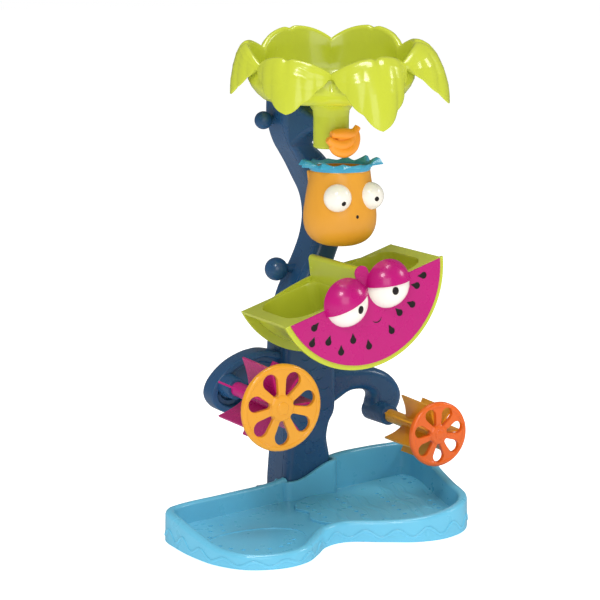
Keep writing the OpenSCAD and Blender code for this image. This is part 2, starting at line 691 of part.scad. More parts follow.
// Tray outline seen from above, anticlockwise: X, Y and height of the rim there
tray_points = [[112, 13, 40], [72, 7, 42], [34, -0.5, 42], [0, -7.5, 36], [-40, -15.5, 28], [-92, -26, 27],
    [-140, -36, 27], [-160, -50, 27], [-163, -78, 25], [-161, -108, 20], [-154, -136, 14.5],
    [-137, -159, 12.5], [-109, -169.5, 12.5], [-84, -165, 13.5], [-66, -151, 15.5], [-49, -136, 17],
    [-27, -132, 18], [0, -147, 18.5], [26, -161, 21], [52, -164, 24], [77, -154, 26.5], [95, -132, 28],
    [104, -100, 29], [114, -62, 32], [123, -32, 35], [126, -9, 37.5], [122, 5, 39]];
tray_curve = closed_curve(tray_points, 2);
tray_plan = [for (p = tray_curve) [p[0], p[1]]];
function tray_ring(d, low, share) = let (q = inset(tray_plan, d)) [for (i = [0 : len(q) - 1])
    [q[i][0], q[i][1], low + share * tray_curve[i][2]]];

// Raised beach on the right, drawn in X and Y
beach_plan = closed_curve([[100, -8], [60, -12], [30, -30], [4, -26], [-18, -34], [-34, -52], [-30, -70],
    [-38, -88], [-30, -108], [-10, -116], [14, -132], [40, -146], [66, -138], [82, -112], [92, -70], [104, -36]], 2);
beach_z = floor_z + 2.5;

// Drain holes in rows: first hole, step and count
drain_rows = [[[-23, -56], [-1, -12], 4], [[11, -50], [-1.5, -13.5], 5], [[52, -50], [-2.4, -13.4], 6],
    [[100, -20], [-2, -13], 2], [[82, -92], [-3, -12], 3], [[-121, -60], [-8, -15], 3], [[-112, -62], [-6, -16], 2]];
drain_arc_centre = [-104, -104];
drain_arc_r = 36;
drain_r = 1.6;

module drain_holes() {
    for (row = drain_rows) for (k = [0 : row[2] - 1])
        translate([row[0][0] + k * row[1][0], row[0][1] + k * row[1][1], 0]) cylinder(r = drain_r, h = 20, $fn = 16);
    for (a = [195 : 18 : 321])
        translate([drain_arc_centre[0] + drain_arc_r * cos(a), drain_arc_centre[1] + drain_arc_r * sin(a), 0])
            cylinder(r = drain_r, h = 20, $fn = 16);
}

// Collar of the tray round the front of the trunk's foot
collar_t = 4.5;
foot_x0 = -26.5 - gap;
foot_x1 = 22.5 + gap;
module foot_space(z0) {
    translate([0, 0, z0]) linear_extrude(100)
        polygon(round_rect(foot_x0, trunk_front - gap, foot_x1, trunk_back + 20, 5));
}

module trunk_collar() {
    difference() {
        linear_extrude(60) polygon(round_rect(foot_x0 - collar_t, trunk_front - gap - collar_t,
            foot_x1 + collar_t, 4, 8));
        translate([foot_x0 - collar_t, -60, 27]) rotate([0, -atan(15 / 58), 0]) cube([100, 100, 60]);
        translate([-60, -15.5 + 4, -1]) rotate([0, 0, atan(0.2)]) cube([160, 60, 80]);
    }
}

// Pad of the tray under the foot, and the play round the foot
foot_grow = 1.012;
pad_top = foot_z + 2;
floor_t = 2.5;
pad_plan = [[-40, -30], [46, -30], [46, 20], [39, 28], [-33, 28], [-40, 20]];
module base_tray() {
    color("#5db3cf") difference() {
        union() {
            skin([tray_ring(rim_w + 2, floor_z - 3.1, 0), tray_ring(rim_w + 1.7, floor_z + 0.2, 0),
                tray_ring(rim_w, -2.5, 1), tray_ring(rim_w - 2, -0.3, 1), tray_ring(2, -0.7, 1),
                tray_ring(0.3, -3.6, 1), tray_ring(0, 0, 0), tray_ring(2.4, 0, 0), tray_ring(2.8, -4.6, 1),
                tray_ring(rim_w - 2.8, -4.6, 1), tray_ring(rim_w - 0.4, floor_z - 3.1, 0)], loop = true);
            translate([0, 0, floor_z - floor_t]) linear_extrude(floor_t) polygon(inset(tray_plan, rim_w + 0.8));
            translate([0, 0, floor_z - 0.6]) linear_extrude(beach_z - floor_z + 0.6) polygon(beach_plan);
            trunk_collar();
            linear_extrude(pad_top) polygon(pad_plan);
        }
        foot_space(foot_z);
        translate([0, 0, foot_z]) linear_extrude(60) polygon([for (q = foot_plan) q * foot_grow]);
        drain_holes();
        for (p = foot_screw_places) translate([p[0], p[1], -1]) {
            cylinder(r = screw_r + 0.2, h = 20);
            cylinder(r = screw_head_r + 0.2, h = 3.6);
        }
    }
}

base_tray();
trunk_front_shell();
trunk_rear_shell();
trunk_screws();
foot_screws();
left_arm();
right_arm();
upper_ball_peg();
lower_ball_peg();
canopy_bracket();
leaf_canopy();
spout();
tap_plug();
banana_knob();
pineapple_axle();
pineapple_cup();
pineapple_collar();
pineapple_left_eye();
pineapple_right_eye();
melon_axle();
melon_trough();
melon_face();
melon_seeds();
melon_left_eye();
melon_right_eye();
melon_left_lid();
melon_right_lid();
left_wheel_axle();
left_wheel_disc();
left_wheel_paddle();
right_wheel_axle();
right_wheel_disc();
right_wheel_paddle();
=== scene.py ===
# %% [markdown]
# # A sand and water tower
# A palm tree stands in a tray. Water runs from its leaf bowl through a tap into a tipping pineapple cup, on
# into a rocking melon and over two paddle wheels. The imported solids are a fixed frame, and this lesson
# dresses them. Every moulded piece gets its soft edges, its small details and its own plastic.

# %% Load the frame
import math

import bmesh
import bpy
from mathutils import Matrix, Vector


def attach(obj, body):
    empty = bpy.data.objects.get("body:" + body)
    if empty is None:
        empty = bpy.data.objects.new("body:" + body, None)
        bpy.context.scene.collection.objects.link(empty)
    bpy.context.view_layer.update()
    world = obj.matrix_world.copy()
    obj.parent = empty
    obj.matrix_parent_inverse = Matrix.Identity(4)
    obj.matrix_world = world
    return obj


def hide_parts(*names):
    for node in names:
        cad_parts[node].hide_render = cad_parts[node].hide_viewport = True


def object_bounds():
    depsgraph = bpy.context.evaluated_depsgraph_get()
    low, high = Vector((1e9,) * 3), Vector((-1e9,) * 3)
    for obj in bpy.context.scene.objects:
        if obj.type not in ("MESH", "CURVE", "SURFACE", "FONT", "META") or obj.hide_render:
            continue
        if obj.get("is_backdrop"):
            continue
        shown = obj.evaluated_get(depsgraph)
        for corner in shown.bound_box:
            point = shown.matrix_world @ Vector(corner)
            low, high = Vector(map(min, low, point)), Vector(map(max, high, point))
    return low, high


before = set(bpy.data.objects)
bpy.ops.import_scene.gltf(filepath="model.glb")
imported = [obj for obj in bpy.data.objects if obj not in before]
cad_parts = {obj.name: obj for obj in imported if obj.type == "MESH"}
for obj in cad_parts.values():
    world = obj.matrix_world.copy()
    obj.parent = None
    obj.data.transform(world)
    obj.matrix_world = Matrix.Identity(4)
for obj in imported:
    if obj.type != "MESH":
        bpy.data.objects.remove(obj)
cad_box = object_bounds()
MM = 0.001
UP, OUT_FRONT = Vector((0, 0, 1)), Vector((0, -1, 0))


def placed(name, data):
    """New object in the scene."""
    ob = bpy.data.objects.new(name, data)
    bpy.context.scene.collection.objects.link(ob)
    return ob


# %% [markdown]
# The picture was taken from the left of the front and a little above, with a long lens. A long lens keeps
# the sides of the tray nearly parallel, so the focal length matters as much as the place.

# %% The camera
LOOK_AT = Vector((0, 0, 0.187))
CAMERA_TURN, CAMERA_RISE, CAMERA_AWAY = math.radians(-29), math.radians(10.3), 1.8
FOCAL_LENGTH, SENSOR_WIDTH = 120, 36
towards_camera = Vector((math.sin(CAMERA_TURN) * math.cos(CAMERA_RISE),
                         -math.cos(CAMERA_TURN) * math.cos(CAMERA_RISE), math.sin(CAMERA_RISE)))
lens = bpy.data.cameras.new("camera")
lens.lens = FOCAL_LENGTH
lens.sensor_width = SENSOR_WIDTH
camera = placed("camera", lens)
camera.location = LOOK_AT + CAMERA_AWAY * towards_camera
camera.rotation_euler = (-towards_camera).to_track_quat("-Z", "Y").to_euler()
bpy.context.scene.camera = camera
print("camera at", [round(c, 3) for c in camera.location])

# %% [markdown]
# Shader maths reads best as plain arithmetic. A small class wraps one socket, its operators add Math nodes,
# and one method adds any other kind of node.


# %% Shader helper
class Shade:
    """One value in a material. Arithmetic on it adds Math nodes to the material."""

    def __init__(self, tree, socket=None):
        self.tree = tree
        self.socket = socket

    def node(self, kind, settings=None, inputs=None, output=0):
        made = self.tree.nodes.new(kind)
        for key, value in (settings or {}).items():
            setattr(made, key, value)
        for key, value in (inputs or {}).items():
            if isinstance(value, Shade):
                self.tree.links.new(value.socket, made.inputs[key])
            else:
                made.inputs[key].default_value = value
        return Shade(self.tree, made.outputs[output])

    def maths(self, operation, other):
        return self.node("ShaderNodeMath", {"operation": operation}, {0: self, 1: other})

    def __add__(self, other):
        return self.maths("ADD", other)

    __radd__ = __add__

    def __mul__(self, other):
        return self.maths("MULTIPLY", other)

    __rmul__ = __mul__

    def mix(self, low, high):
        """Colour between low and high, with this value as the share of high."""
        return self.node("ShaderNodeMix", {"data_type": "RGBA"}, {0: self, 6: low, 7: high}, output=2)


# %% [markdown]
# The studio is a white room: a pale floor that runs out of sight, a white world and four soft lamps. Gloss
# should show the lamps and little else, so mirrored rays see a much darker room and floor than the camera
# does.

# %% Studio
FLOOR_HALF, FLOOR_GAP, FLOOR_GLOW = 12, 0.0003, 0.62
PAPER_WHITE, PAPER_ROUGH, PAPER_IN_GLOSS = 0.95, 0.9, 0.3
ROOM_LIGHT, ROOM_IN_GLOSS = 0.46, 0.14
# Place, size and power of each square lamp
LAMPS = {"lamp_key": ((-1.1, -1.3, 1.9), 0.5, 13), "lamp_side": ((1.6, -0.7, 1.2), 0.45, 5),
         "lamp_top": ((0.1, -0.1, 2.3), 0.8, 18), "lamp_fill": ((-0.7, -1.9, 0.8), 1.1, 7)}
bm = bmesh.new()
bmesh.ops.create_grid(bm, x_segments=2, y_segments=2, size=FLOOR_HALF)
floor_mesh = bpy.data.meshes.new("studio_floor")
bm.to_mesh(floor_mesh)
bm.free()
studio_floor = placed("studio_floor", floor_mesh)
studio_floor.location.z = cad_box[0].z - FLOOR_GAP
studio_floor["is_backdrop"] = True
paper = bpy.data.materials.new("floor_paper")
paper.use_nodes = True
paper_skin = paper.node_tree.nodes["Principled BSDF"]
paper_skin.inputs["Base Color"].default_value = (PAPER_WHITE, PAPER_WHITE, PAPER_WHITE, 1)
paper_skin.inputs["Roughness"].default_value = PAPER_ROUGH
paper_skin.inputs["Emission Color"].default_value = (1, 1, 1, 1)
paper_skin.inputs["Emission Strength"].default_value = FLOOR_GLOW
dim_paper = paper.node_tree.nodes.new("ShaderNodeBsdfDiffuse")
dim_paper.inputs["Color"].default_value = (PAPER_IN_GLOSS, PAPER_IN_GLOSS, PAPER_IN_GLOSS, 1)
in_gloss = Shade(paper.node_tree).node("ShaderNodeLightPath", output="Is Glossy Ray")
choice = paper.node_tree.nodes.new("ShaderNodeMixShader")
for k, socket in enumerate((in_gloss.socket, paper_skin.outputs[0], dim_paper.outputs[0])):
    paper.node_tree.links.new(socket, choice.inputs[k])
paper.node_tree.links.new(choice.outputs[0], paper.node_tree.nodes["Material Output"].inputs["Surface"])
floor_mesh.materials.append(paper)

world = bpy.data.worlds.new("studio_world")
world.use_nodes = True
room = world.node_tree.nodes["Background"]
room.inputs["Color"].default_value = (1, 1, 1, 1)
seen = Shade(world.node_tree).node("ShaderNodeLightPath", output="Is Camera Ray")
mirrored = Shade(world.node_tree).node("ShaderNodeLightPath", output="Is Glossy Ray")
strength = ROOM_LIGHT + seen * (1 - ROOM_LIGHT) + mirrored * (ROOM_IN_GLOSS - ROOM_LIGHT)
world.node_tree.links.new(strength.socket, room.inputs["Strength"])
bpy.context.scene.world = world
bpy.context.scene.view_settings.view_transform = "Standard"
for name, (place, size, power) in LAMPS.items():
    lamp = bpy.data.lights.new(name, "AREA")
    lamp.size = size
    lamp.energy = power
    ob = placed(name, lamp)
    ob.location = place
    ob.rotation_euler = (LOOK_AT - ob.location).to_track_quat("-Z", "Y").to_euler()
print("studio: floor, world and", len(LAMPS), "lamps")

# %% [markdown]
# All the big pieces are injection-moulded plastic. Such a surface is never one flat colour: the pigment
# clouds a little, the gloss varies where hands and packing have touched it, and the skin has a faint orange
# peel. Three noises on Object coordinates give that, about 40, 14 and 1 mm across.

# %% Moulded plastic
CLOUD_SCALE, SMEAR_SCALE, PEEL_SCALE = 24, 70, 900
PEEL_DEPTH, COAT_ROUGH = 0.0004, 0.08
# Share of the roughness that is always there, and share that the smears add
GLOSS_BASE, GLOSS_SMEAR = 0.7, 0.6


def tint(code):
    """Linear colour from a six-figure web colour."""
    shades = [int(code[i:i + 2], 16) / 255 for i in (0, 2, 4)]
    return [c / 12.92 if c <= 0.04045 else ((c + 0.055) / 1.055) ** 2.4 for c in shades] + [1]


def scaled(colour, share):
    return [c * share for c in colour[:3]] + [1]


def moulded(name, code, rough=0.26, cloud=0.07, peel=0.03, coat=0.35):
    """Glossy plastic with clouded pigment, uneven gloss and a little orange peel."""
    material = bpy.data.materials.new(name)
    material.use_nodes = True
    tree = material.node_tree
    skin = tree.nodes["Principled BSDF"]
    colour = tint(code)
    place = Shade(tree).node("ShaderNodeTexCoord", output="Object")
    clouds, smears, peels = [
        place.node("ShaderNodeTexNoise", None, {"Vector": place, "Scale": scale, "Detail": detail})
        for scale, detail in ((CLOUD_SCALE, 3), (SMEAR_SCALE, 4), (PEEL_SCALE, 1))]
    pigment = clouds.mix(scaled(colour, 1 - cloud), scaled(colour, 1 + cloud))
    gloss = rough * GLOSS_BASE + smears * (rough * GLOSS_SMEAR)
    bump = place.node("ShaderNodeBump", None, {"Strength": peel, "Distance": PEEL_DEPTH, "Height": peels})
    for value, socket in ((pigment, "Base Color"), (gloss, "Roughness"), (bump, "Normal")):
        tree.links.new(value.socket, skin.inputs[socket])
    skin.inputs["Coat Weight"].default_value = coat
    skin.inputs["Coat Roughness"].default_value = COAT_ROUGH
    return material


LIME = moulded("lime_gloss", "c2cb38", rough=0.24)
NAVY = moulded("navy_gloss", "234e77", rough=0.28)
SKY = moulded("sky_gloss", "68bfdf", rough=0.3)
MAGENTA = moulded("magenta_gloss", "bd0474", rough=0.28)
AMBER = moulded("amber_gloss", "e49c1f", rough=0.3)
ORANGE = moulded("orange_gloss", "e46318", rough=0.3)
BANANA = moulded("banana_gloss", "f59a28", rough=0.34)
PINE = moulded("pineapple_satin", "e29c27", rough=0.4, coat=0.15)
TEAL = moulded("teal_gloss", "3ba3c8", rough=0.32)
CREAM = moulded("cream_gloss", "f4efe4", rough=0.24, cloud=0.02)
INK = moulded("black_print", "1c1414", rough=0.35, cloud=0.2)
print("plastics:", len(bpy.data.materials) - 1)

# %% [markdown]
# The axles and screws are steel. Turned steel is brushed round its axis, which a noise squeezed along Y
# shows well enough on pins this small.

# %% Steel
BRUSH_SCALE = (300, 2500, 300)
STEEL_DARK, STEEL_LIGHT = (0.5, 0.5, 0.52, 1), (0.72, 0.72, 0.74, 1)
STEEL_ROUGH = 0.25
STEEL = bpy.data.materials.new("turned_steel")
STEEL.use_nodes = True
steel_skin = STEEL.node_tree.nodes["Principled BSDF"]
steel_place = Shade(STEEL.node_tree).node("ShaderNodeTexCoord", output="Object")
squeezed = steel_place.node("ShaderNodeMapping", None, {"Vector": steel_place, "Scale": BRUSH_SCALE})
brushed = steel_place.node("ShaderNodeTexNoise", None, {"Vector": squeezed, "Scale": 1, "Detail": 2})
for value, socket in ((STEEL_ROUGH + brushed * STEEL_ROUGH, "Roughness"),
                      (brushed.mix(STEEL_DARK, STEEL_LIGHT), "Base Color")):
    STEEL.node_tree.links.new(value.socket, steel_skin.inputs[socket])
steel_skin.inputs["Metallic"].default_value = 1
print("steel made")

# %% [markdown]
# Most pieces here are lofts: one outline that changes along a path. A grid is the easiest start for those.
# Each of its columns is one point of the outline and each row is one ring, so the grid only has to be bent
# into place and its seam merged. Its columns and rows also make a UV map.


# %% Curves and lofts
def through(points, steps, closed=False):
    """Smooth curve through given points, with steps new points on every stretch."""
    rows = [Vector(p) for p in points]
    count = len(rows)
    made = []
    for i in range(count if closed else count - 1):
        near = [(i + k) % count if closed else min(max(i + k, 0), count - 1) for k in (-1, 0, 1, 2)]
        a, b, c, d = [rows[k] for k in near]
        for k in range(steps):
            t = k / steps
            bend = (2 * a - 5 * b + 4 * c - d) * t * t + (3 * b - a - 3 * c + d) * t ** 3
            made.append(0.5 * (2 * b + (c - a) * t + bend))
    return made if closed else made + [rows[-1]]


def heading(path, k):
    """Way along a path at point k, from the point before it to the one after."""
    return path[min(k + 1, len(path) - 1)] - path[max(k - 1, 0)]


def inset(outline, depth):
    """Closed flat outline, anticlockwise, moved inwards by depth."""
    made = []
    for i, here in enumerate(outline):
        before = here - outline[i - 1]
        after = outline[(i + 1) % len(outline)] - here
        a = Vector((-before.y, before.x)).normalized()
        b = Vector((-after.y, after.x)).normalized()
        made.append(here + depth * (a + b) / (1 + a.dot(b)))
    return made


def soft_outline(corners, steps=6):
    """Outline with an arc at each corner; a corner is x, y and the radius of its arc."""
    made = []
    for i, (x, y, r) in enumerate(corners):
        here = Vector((x, y))
        before = (Vector(corners[i - 1][:2]) - here).normalized()
        after = (Vector(corners[(i + 1) % len(corners)][:2]) - here).normalized()
        half = before.angle(after) / 2
        centre = here + (before + after).normalized() * r / math.sin(half)
        start = here + before * r / math.tan(half) - centre
        end = here + after * r / math.tan(half) - centre
        turn = -start.angle_signed(end)
        made += [centre + Matrix.Rotation(turn * k / steps, 2) @ start for k in range(steps + 1)]
    return made


def arc_points(centre, r, start, end, steps=8):
    """Points of an arc in degrees, as pairs."""
    angles = [math.radians(start + (end - start) * k / steps) for k in range(steps + 1)]
    return [(centre[0] + r * math.cos(a), centre[1] + r * math.sin(a)) for a in angles]


def close_holes(bm):
    bmesh.ops.holes_fill(bm, edges=[e for e in bm.edges if e.is_boundary], sides=0)


def loft(bm, rings, loop=False):
    """Bends a grid through rings of points in millimetres. A loop also joins the last ring to the first."""
    across = len(rings[0])
    along = len(rings) if loop else len(rings) - 1
    made = bmesh.ops.create_grid(bm, x_segments=across, y_segments=along, size=0.5)["verts"]
    uv = bm.loops.layers.uv.verify()
    for face in {f for v in made for f in v.link_faces}:
        for corner in face.loops:
            corner[uv].uv = (corner.vert.co.x + 0.5, corner.vert.co.y + 0.5)
    for v in made:
        column = round((v.co.x + 0.5) * across) % across
        row = round((v.co.y + 0.5) * along) % len(rings)
        v.co = Vector(rings[row][column]) * MM
    bmesh.ops.remove_doubles(bm, verts=made, dist=1e-7)
    if not loop:
        close_holes(bm)


def turned(bm, profile, centre, axis="Z", steps=96):
    """Spins a profile of radius and height about an axis through centre."""
    side = Vector((0, 1, 0)) if axis == "X" else Vector((1, 0, 0))
    up = {"X": Vector((1, 0, 0)), "Y": Vector((0, 1, 0)), "Z": UP}[axis]
    verts = [bm.verts.new((Vector(centre) + side * r + up * h) * MM) for r, h in profile]
    edges = [bm.edges.new(pair) for pair in zip(verts, verts[1:])]
    bmesh.ops.spin(bm, geom=verts + edges, cent=Vector(centre) * MM, axis=up, angle=math.tau, steps=steps,
                   use_merge=True)
    bmesh.ops.remove_doubles(bm, verts=bm.verts, dist=1e-7)


# Thickness of a bead's two ends, and how much it gains with every step away from them
BEAD_END, BEAD_GAIN = 0.3, 0.2


def bead(bm, path, ways, high, wide, sides=10):
    """Raised line along a path in millimetres. Each point has its own way off the surface."""
    rings = []
    last = len(path) - 1
    turns = [math.tau * j / sides for j in range(sides)]
    for k, (here, way) in enumerate(zip(path, ways)):
        across = heading(path, k).cross(way).normalized()
        taper = min(1, BEAD_END + BEAD_GAIN * min(k, last - k))
        rings.append([here + taper * (high * math.cos(a) * way + wide * math.sin(a) * across) for a in turns])
    loft(bm, rings)


def round_edges(bm, edges, width, segments=3):
    bmesh.ops.bevel(bm, geom=edges, offset=width * MM, offset_type="OFFSET", segments=segments, profile=0.5,
                    affect="EDGES", material=-1, clamp_overlap=True)


def post(bm, place, r, deep, sides, top_r=None, turn=0, axis="X"):
    """Round post with its middle at place, turned by some degrees about an axis."""
    way = Matrix.Translation(Vector(place) * MM) @ Matrix.Rotation(math.radians(turn), 4, axis)
    bmesh.ops.create_cone(bm, cap_ends=True, segments=sides, radius1=r * MM, radius2=(top_r or r) * MM,
                          depth=deep * MM, matrix=way)


def cut_ball(middle, r, sides, *cuts):
    """Ball cut by planes. Each cut is a place on the plane and the way to the side that stays."""
    bm = bmesh.new()
    bmesh.ops.create_uvsphere(bm, u_segments=sides, v_segments=sides // 2, radius=r * MM,
                              matrix=Matrix.Translation(middle * MM))
    for place, way in cuts:
        everything = bm.verts[:] + bm.edges[:] + bm.faces[:]
        bmesh.ops.bisect_plane(bm, geom=everything, plane_co=place * MM, plane_no=way, clear_inner=True)
    return bm


print("loft, spin, bead, post and ball helpers ready")

# %% [markdown]
# A finished piece goes through the same few steps. Parts of one moulding are joined with a Boolean so that
# no face is left inside, the faces are shaded smooth up to a fold, and the piece is hung on its body of the
# frame.


# %% Joining and dressing
def solid(bm, name="part"):
    """Object from a closed bmesh, with its faces outwards."""
    bmesh.ops.recalc_face_normals(bm, faces=bm.faces)
    mesh = bpy.data.meshes.new(name)
    bm.to_mesh(mesh)
    bm.free()
    return placed(name, mesh)


def lofted(rings, loop=False):
    bm = bmesh.new()
    loft(bm, rings, loop)
    return solid(bm)


def spun(profile, centre, axis="Z", steps=96):
    bm = bmesh.new()
    turned(bm, profile, centre, axis, steps)
    return solid(bm)


def slab(outline, low, high, soft=0, along="Z"):
    """Flat outline made solid between two planes across an axis, with its two edges rounded."""
    lift = {"Z": lambda p, h: Vector((p[0], p[1], h)), "Y": lambda p, h: Vector((p[0], h, p[1]))}[along]
    bm = bmesh.new()
    base = bm.faces.new([bm.verts.new(lift(p, low) * MM) for p in outline])
    grown = bmesh.ops.extrude_face_region(bm, geom=[base])["geom"]
    top = [v for v in grown if isinstance(v, bmesh.types.BMVert)]
    bmesh.ops.translate(bm, verts=top, vec=(lift((0, 0), high) - lift((0, 0), low)) * MM)
    if soft:
        top_face = [f for f in grown if isinstance(f, bmesh.types.BMFace)]
        round_edges(bm, list({e for f in [base] + top_face for e in f.edges}), soft)
    return solid(bm)


def carve(base, others, operation="UNION"):
    """Adds other solids to base or takes them away, and keeps the result as its mesh."""
    for other in others:
        step = base.modifiers.new("carve", "BOOLEAN")
        step.operation = operation
        step.solver = "EXACT"
        step.use_self = True
        step.object = other
    graph = bpy.context.evaluated_depsgraph_get()
    made = bpy.data.meshes.new_from_object(base.evaluated_get(graph))
    base.modifiers.clear()
    base.data = made
    for other in others:
        bpy.data.objects.remove(other)
    return base


def dress(ob, name, finish, body, nodes=(), fold=38):
    """Gives a piece its name, finish and shading, and hangs it on its body."""
    ob.name = name
    ob.data.name = name
    ob.data.materials.clear()
    ob.data.materials.append(finish)
    ob.data.shade_smooth()
    ob.data.set_sharp_from_angle(angle=math.radians(fold))
    ob.modifiers.new("even_shading", "WEIGHTED_NORMAL").keep_sharp = True
    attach(ob, body)
    if nodes:
        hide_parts(*nodes)
    print(f"{name}: {len(ob.data.polygons)} faces")
    return ob


def softened(node, width, fold=30):
    """Copy of a node's mesh, merged, with its sharp edges rounded."""
    bm = bmesh.new()
    bm.from_mesh(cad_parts[node].data)
    bmesh.ops.remove_doubles(bm, verts=bm.verts, dist=2e-6)
    bmesh.ops.dissolve_limit(bm, angle_limit=math.radians(0.5), verts=bm.verts, edges=bm.edges)
    sharp = [e for e in bm.edges if e.is_manifold and e.calc_face_angle() > math.radians(fold)]
    round_edges(bm, sharp, width)
    return bm


print("joining and dressing ready")

# %% [markdown]
# The trunk is two half shells, and their joint runs down its left side near the front. Each half is a loft
# of one rounded section that follows the bent palm upwards. The tiny rounding at the joint is what draws
# the seam. The rear half has a foot and the counterbores of its screws.

# %% Trunk
TRUNK_FRONT, TRUNK_SPLIT, TRUNK_BACK = -22, -13, 20
TRUNK_EDGE, SEAM_EDGE, SEAM_HALF = 7, 0.6, 0.15
# Height, middle and half width of the trunk
TRUNK_STATIONS = [
    (6, -2, 24.5), (22, -2, 24.3), (34, -2, 23.5), (47, -2, 22.5), (62, -3, 21), (76, -2, 22.5), (88, 0, 26),
    (116, 0, 26.4), (144, 0, 26), (153, 0.5, 25.6), (162, 1.7, 25.2), (174, 2.8, 24.3), (186, 3, 22),
    (197, 3.2, 18.6), (212, 6.5, 14.5), (228, 13.5, 13), (246, 20.5, 13), (264, 23.5, 13.5),
    (282, 20.5, 13.5), (298, 13, 14), (311, 6.5, 14.5), (320, 0, 13.5), (329, -7.5, 11.5), (341, -12, 11.5),
    (354, -12.5, 13.5), (367, -12, 14), (380, -11.5, 14)]
BOWL_AXIS = Vector((-1, -57, 357))
# Radius and height of the space that the leaf bowl takes on top of the trunk
BOWL_ROOM = [(0, 12), (52.3, 12), (64.3, 20.5), (71.8, 33), (71.8, 60), (0, 60)]
FOOT_PLAN = [(-38, -11), (-27, -8), (23, 1), (44, 5), (44, 20), (38, 26), (-32, 26), (-38, 20)]
FOOT_LOW, FOOT_TOP, FOOT_EDGE = 6, 13, 2
# Counterbores of the four screws in the back and of the two under the foot
SCREW_PLACES = [(-12.5, 350), (21, 254), (-10, 130), (-3, 60)]
FOOT_SCREWS = [(-32, 8), (34, 14)]
SCREW_BORE, SCREW_DEEP, SCREW_SIDES = 3.2, 7, 32
trunk_line = through(TRUNK_STATIONS, 4)


def trunk_half(lip, face):
    """One half of the trunk, between the joint plane and the outer face."""
    rings = []
    for z, centre, half in trunk_line:
        corners = [(centre - half, lip, SEAM_EDGE), (centre + half, lip, SEAM_EDGE),
                   (centre + half, face, TRUNK_EDGE), (centre - half, face, TRUNK_EDGE)]
        rings.append([(p.x, p.y, z) for p in soft_outline(corners)])
    return lofted(rings)


trunk_front = trunk_half(TRUNK_SPLIT - SEAM_HALF, TRUNK_FRONT)
carve(trunk_front, [spun(BOWL_ROOM, BOWL_AXIS)], "DIFFERENCE")
dress(trunk_front, "palm_trunk_front", NAVY, "tower", ["trunk_front_shell"])
trunk_rear = trunk_half(TRUNK_SPLIT + SEAM_HALF, TRUNK_BACK)
carve(trunk_rear, [slab(FOOT_PLAN, FOOT_LOW, FOOT_TOP, FOOT_EDGE)])
carve(trunk_rear, [spun(BOWL_ROOM, BOWL_AXIS)], "DIFFERENCE")
bm = bmesh.new()
for x, z in SCREW_PLACES:
    post(bm, (x, TRUNK_BACK, z), SCREW_BORE, SCREW_DEEP, SCREW_SIDES, turn=90)
carve(trunk_rear, [solid(bm)], "DIFFERENCE")
dress(trunk_rear, "palm_trunk_rear", NAVY, "tower", ["trunk_rear_shell"])

# %% [markdown]
# The front of the trunk carries a low pattern of bark scales. They are staggered arcs, so shallow that only
# their edges catch the light.

# %% Bark
BARK_LOW, BARK_HIGH, BARK_ROW = 50, 326, 9.5
SCALE_WIDE, SCALE_GAP, SCALE_SAG, SCALE_STEPS = 11, 1.5, 3.4, 10
SCALE_SINK, SCALE_HIGH, SCALE_THICK, SCALE_SIDES = 0.1, 0.8, 0.9, 8
BARK_MARGIN = 0.6 * TRUNK_EDGE
bark = bmesh.new()
scales = 0
for row in range(int((BARK_HIGH - BARK_LOW) / BARK_ROW)):
    level = BARK_LOW + row * BARK_ROW
    centre, half = min(trunk_line, key=lambda p: abs(p.x - level)).yz
    for j in range(-2, 3):
        middle = (j + 0.5 * (row % 2)) * (SCALE_WIDE + SCALE_GAP)
        if abs(middle) + SCALE_WIDE / 2 > half - BARK_MARGIN:
            continue
        line = []
        for k in range(SCALE_STEPS + 1):
            x = middle + SCALE_WIDE * (k / SCALE_STEPS - 0.5)
            z = SCALE_SAG * (2 * k / SCALE_STEPS - 1) ** 2
            line.append(Vector((centre + x, TRUNK_FRONT + SCALE_SINK, level + z)))
        bead(bark, line, [OUT_FRONT] * len(line), SCALE_HIGH, SCALE_THICK, SCALE_SIDES)
        scales += 1
dress(solid(bark), "trunk_bark", NAVY, "tower", ())
print("bark scales:", scales)

# %% [markdown]
# Two arms grow out of the trunk and curl round the wheel bearings. Each is a plate with round edges. The
# larger one is dished on its front, in steps that follow its outline, so its rings are the outline moved
# inwards and pushed to a new depth each time.

# %% Arms
RIGHT_ARM = [(2, 76), (33, 91), (46, 98), (57, 99.5), (66, 97.5), (71, 92), (69.5, 84), (70.5, 75), (77, 69),
             (86, 68.5), (95, 72.5), (101, 81), (103, 91), (99.5, 101), (92, 109.5), (81, 116), (67, 120),
             (50, 121.5), (34, 122.3), (2, 120.5)]
LEFT_ARM = [(0, 136), (-36, 146.3), (-50, 146.5), (-62, 143.5), (-74, 138), (-85, 129.5), (-92.5, 120),
            (-95, 110.5), (-92, 102), (-85, 96), (-76, 93.5), (-67, 95.5), (-60, 101), (-53, 105), (-45, 104),
            (-34, 99.5), (0, 95)]
RIGHT_HUB, LEFT_HUB = (79, 77), (-78, 119)
ROOT_SHARE = 0.25
# Inset and depth of each ring, from the back face round the edge to the front
ROUND_ARM = [(8, 10), (4.5, 9.2), (1.6, 6.8), (0.2, 2.5), (0.2, -5), (1.6, -9), (4.5, -11.3), (8, -12)]
DISHED_ARM = [(6, 10), (2.6, 9.2), (0.6, 7), (0, 4), (0, -9), (0.7, -11.3), (2.4, -12), (5.2, -12),
              (6.1, -11.2), (6.5, -8.2), (7.1, -7.2), (10.6, -7), (11.2, -6.2), (11.6, -4.4), (12.1, -3.8),
              (12.5, -3.6)]
# Radius and depth of a bearing barrel: its front end, and the places behind with the radius still to come
BARREL_FRONT = [(0, -28), (7.8, -28), (9, -27.4), (9.5, -26.2)]
BARREL_BACK, BARREL_END, BARREL_EDGE = 6, 8, 2


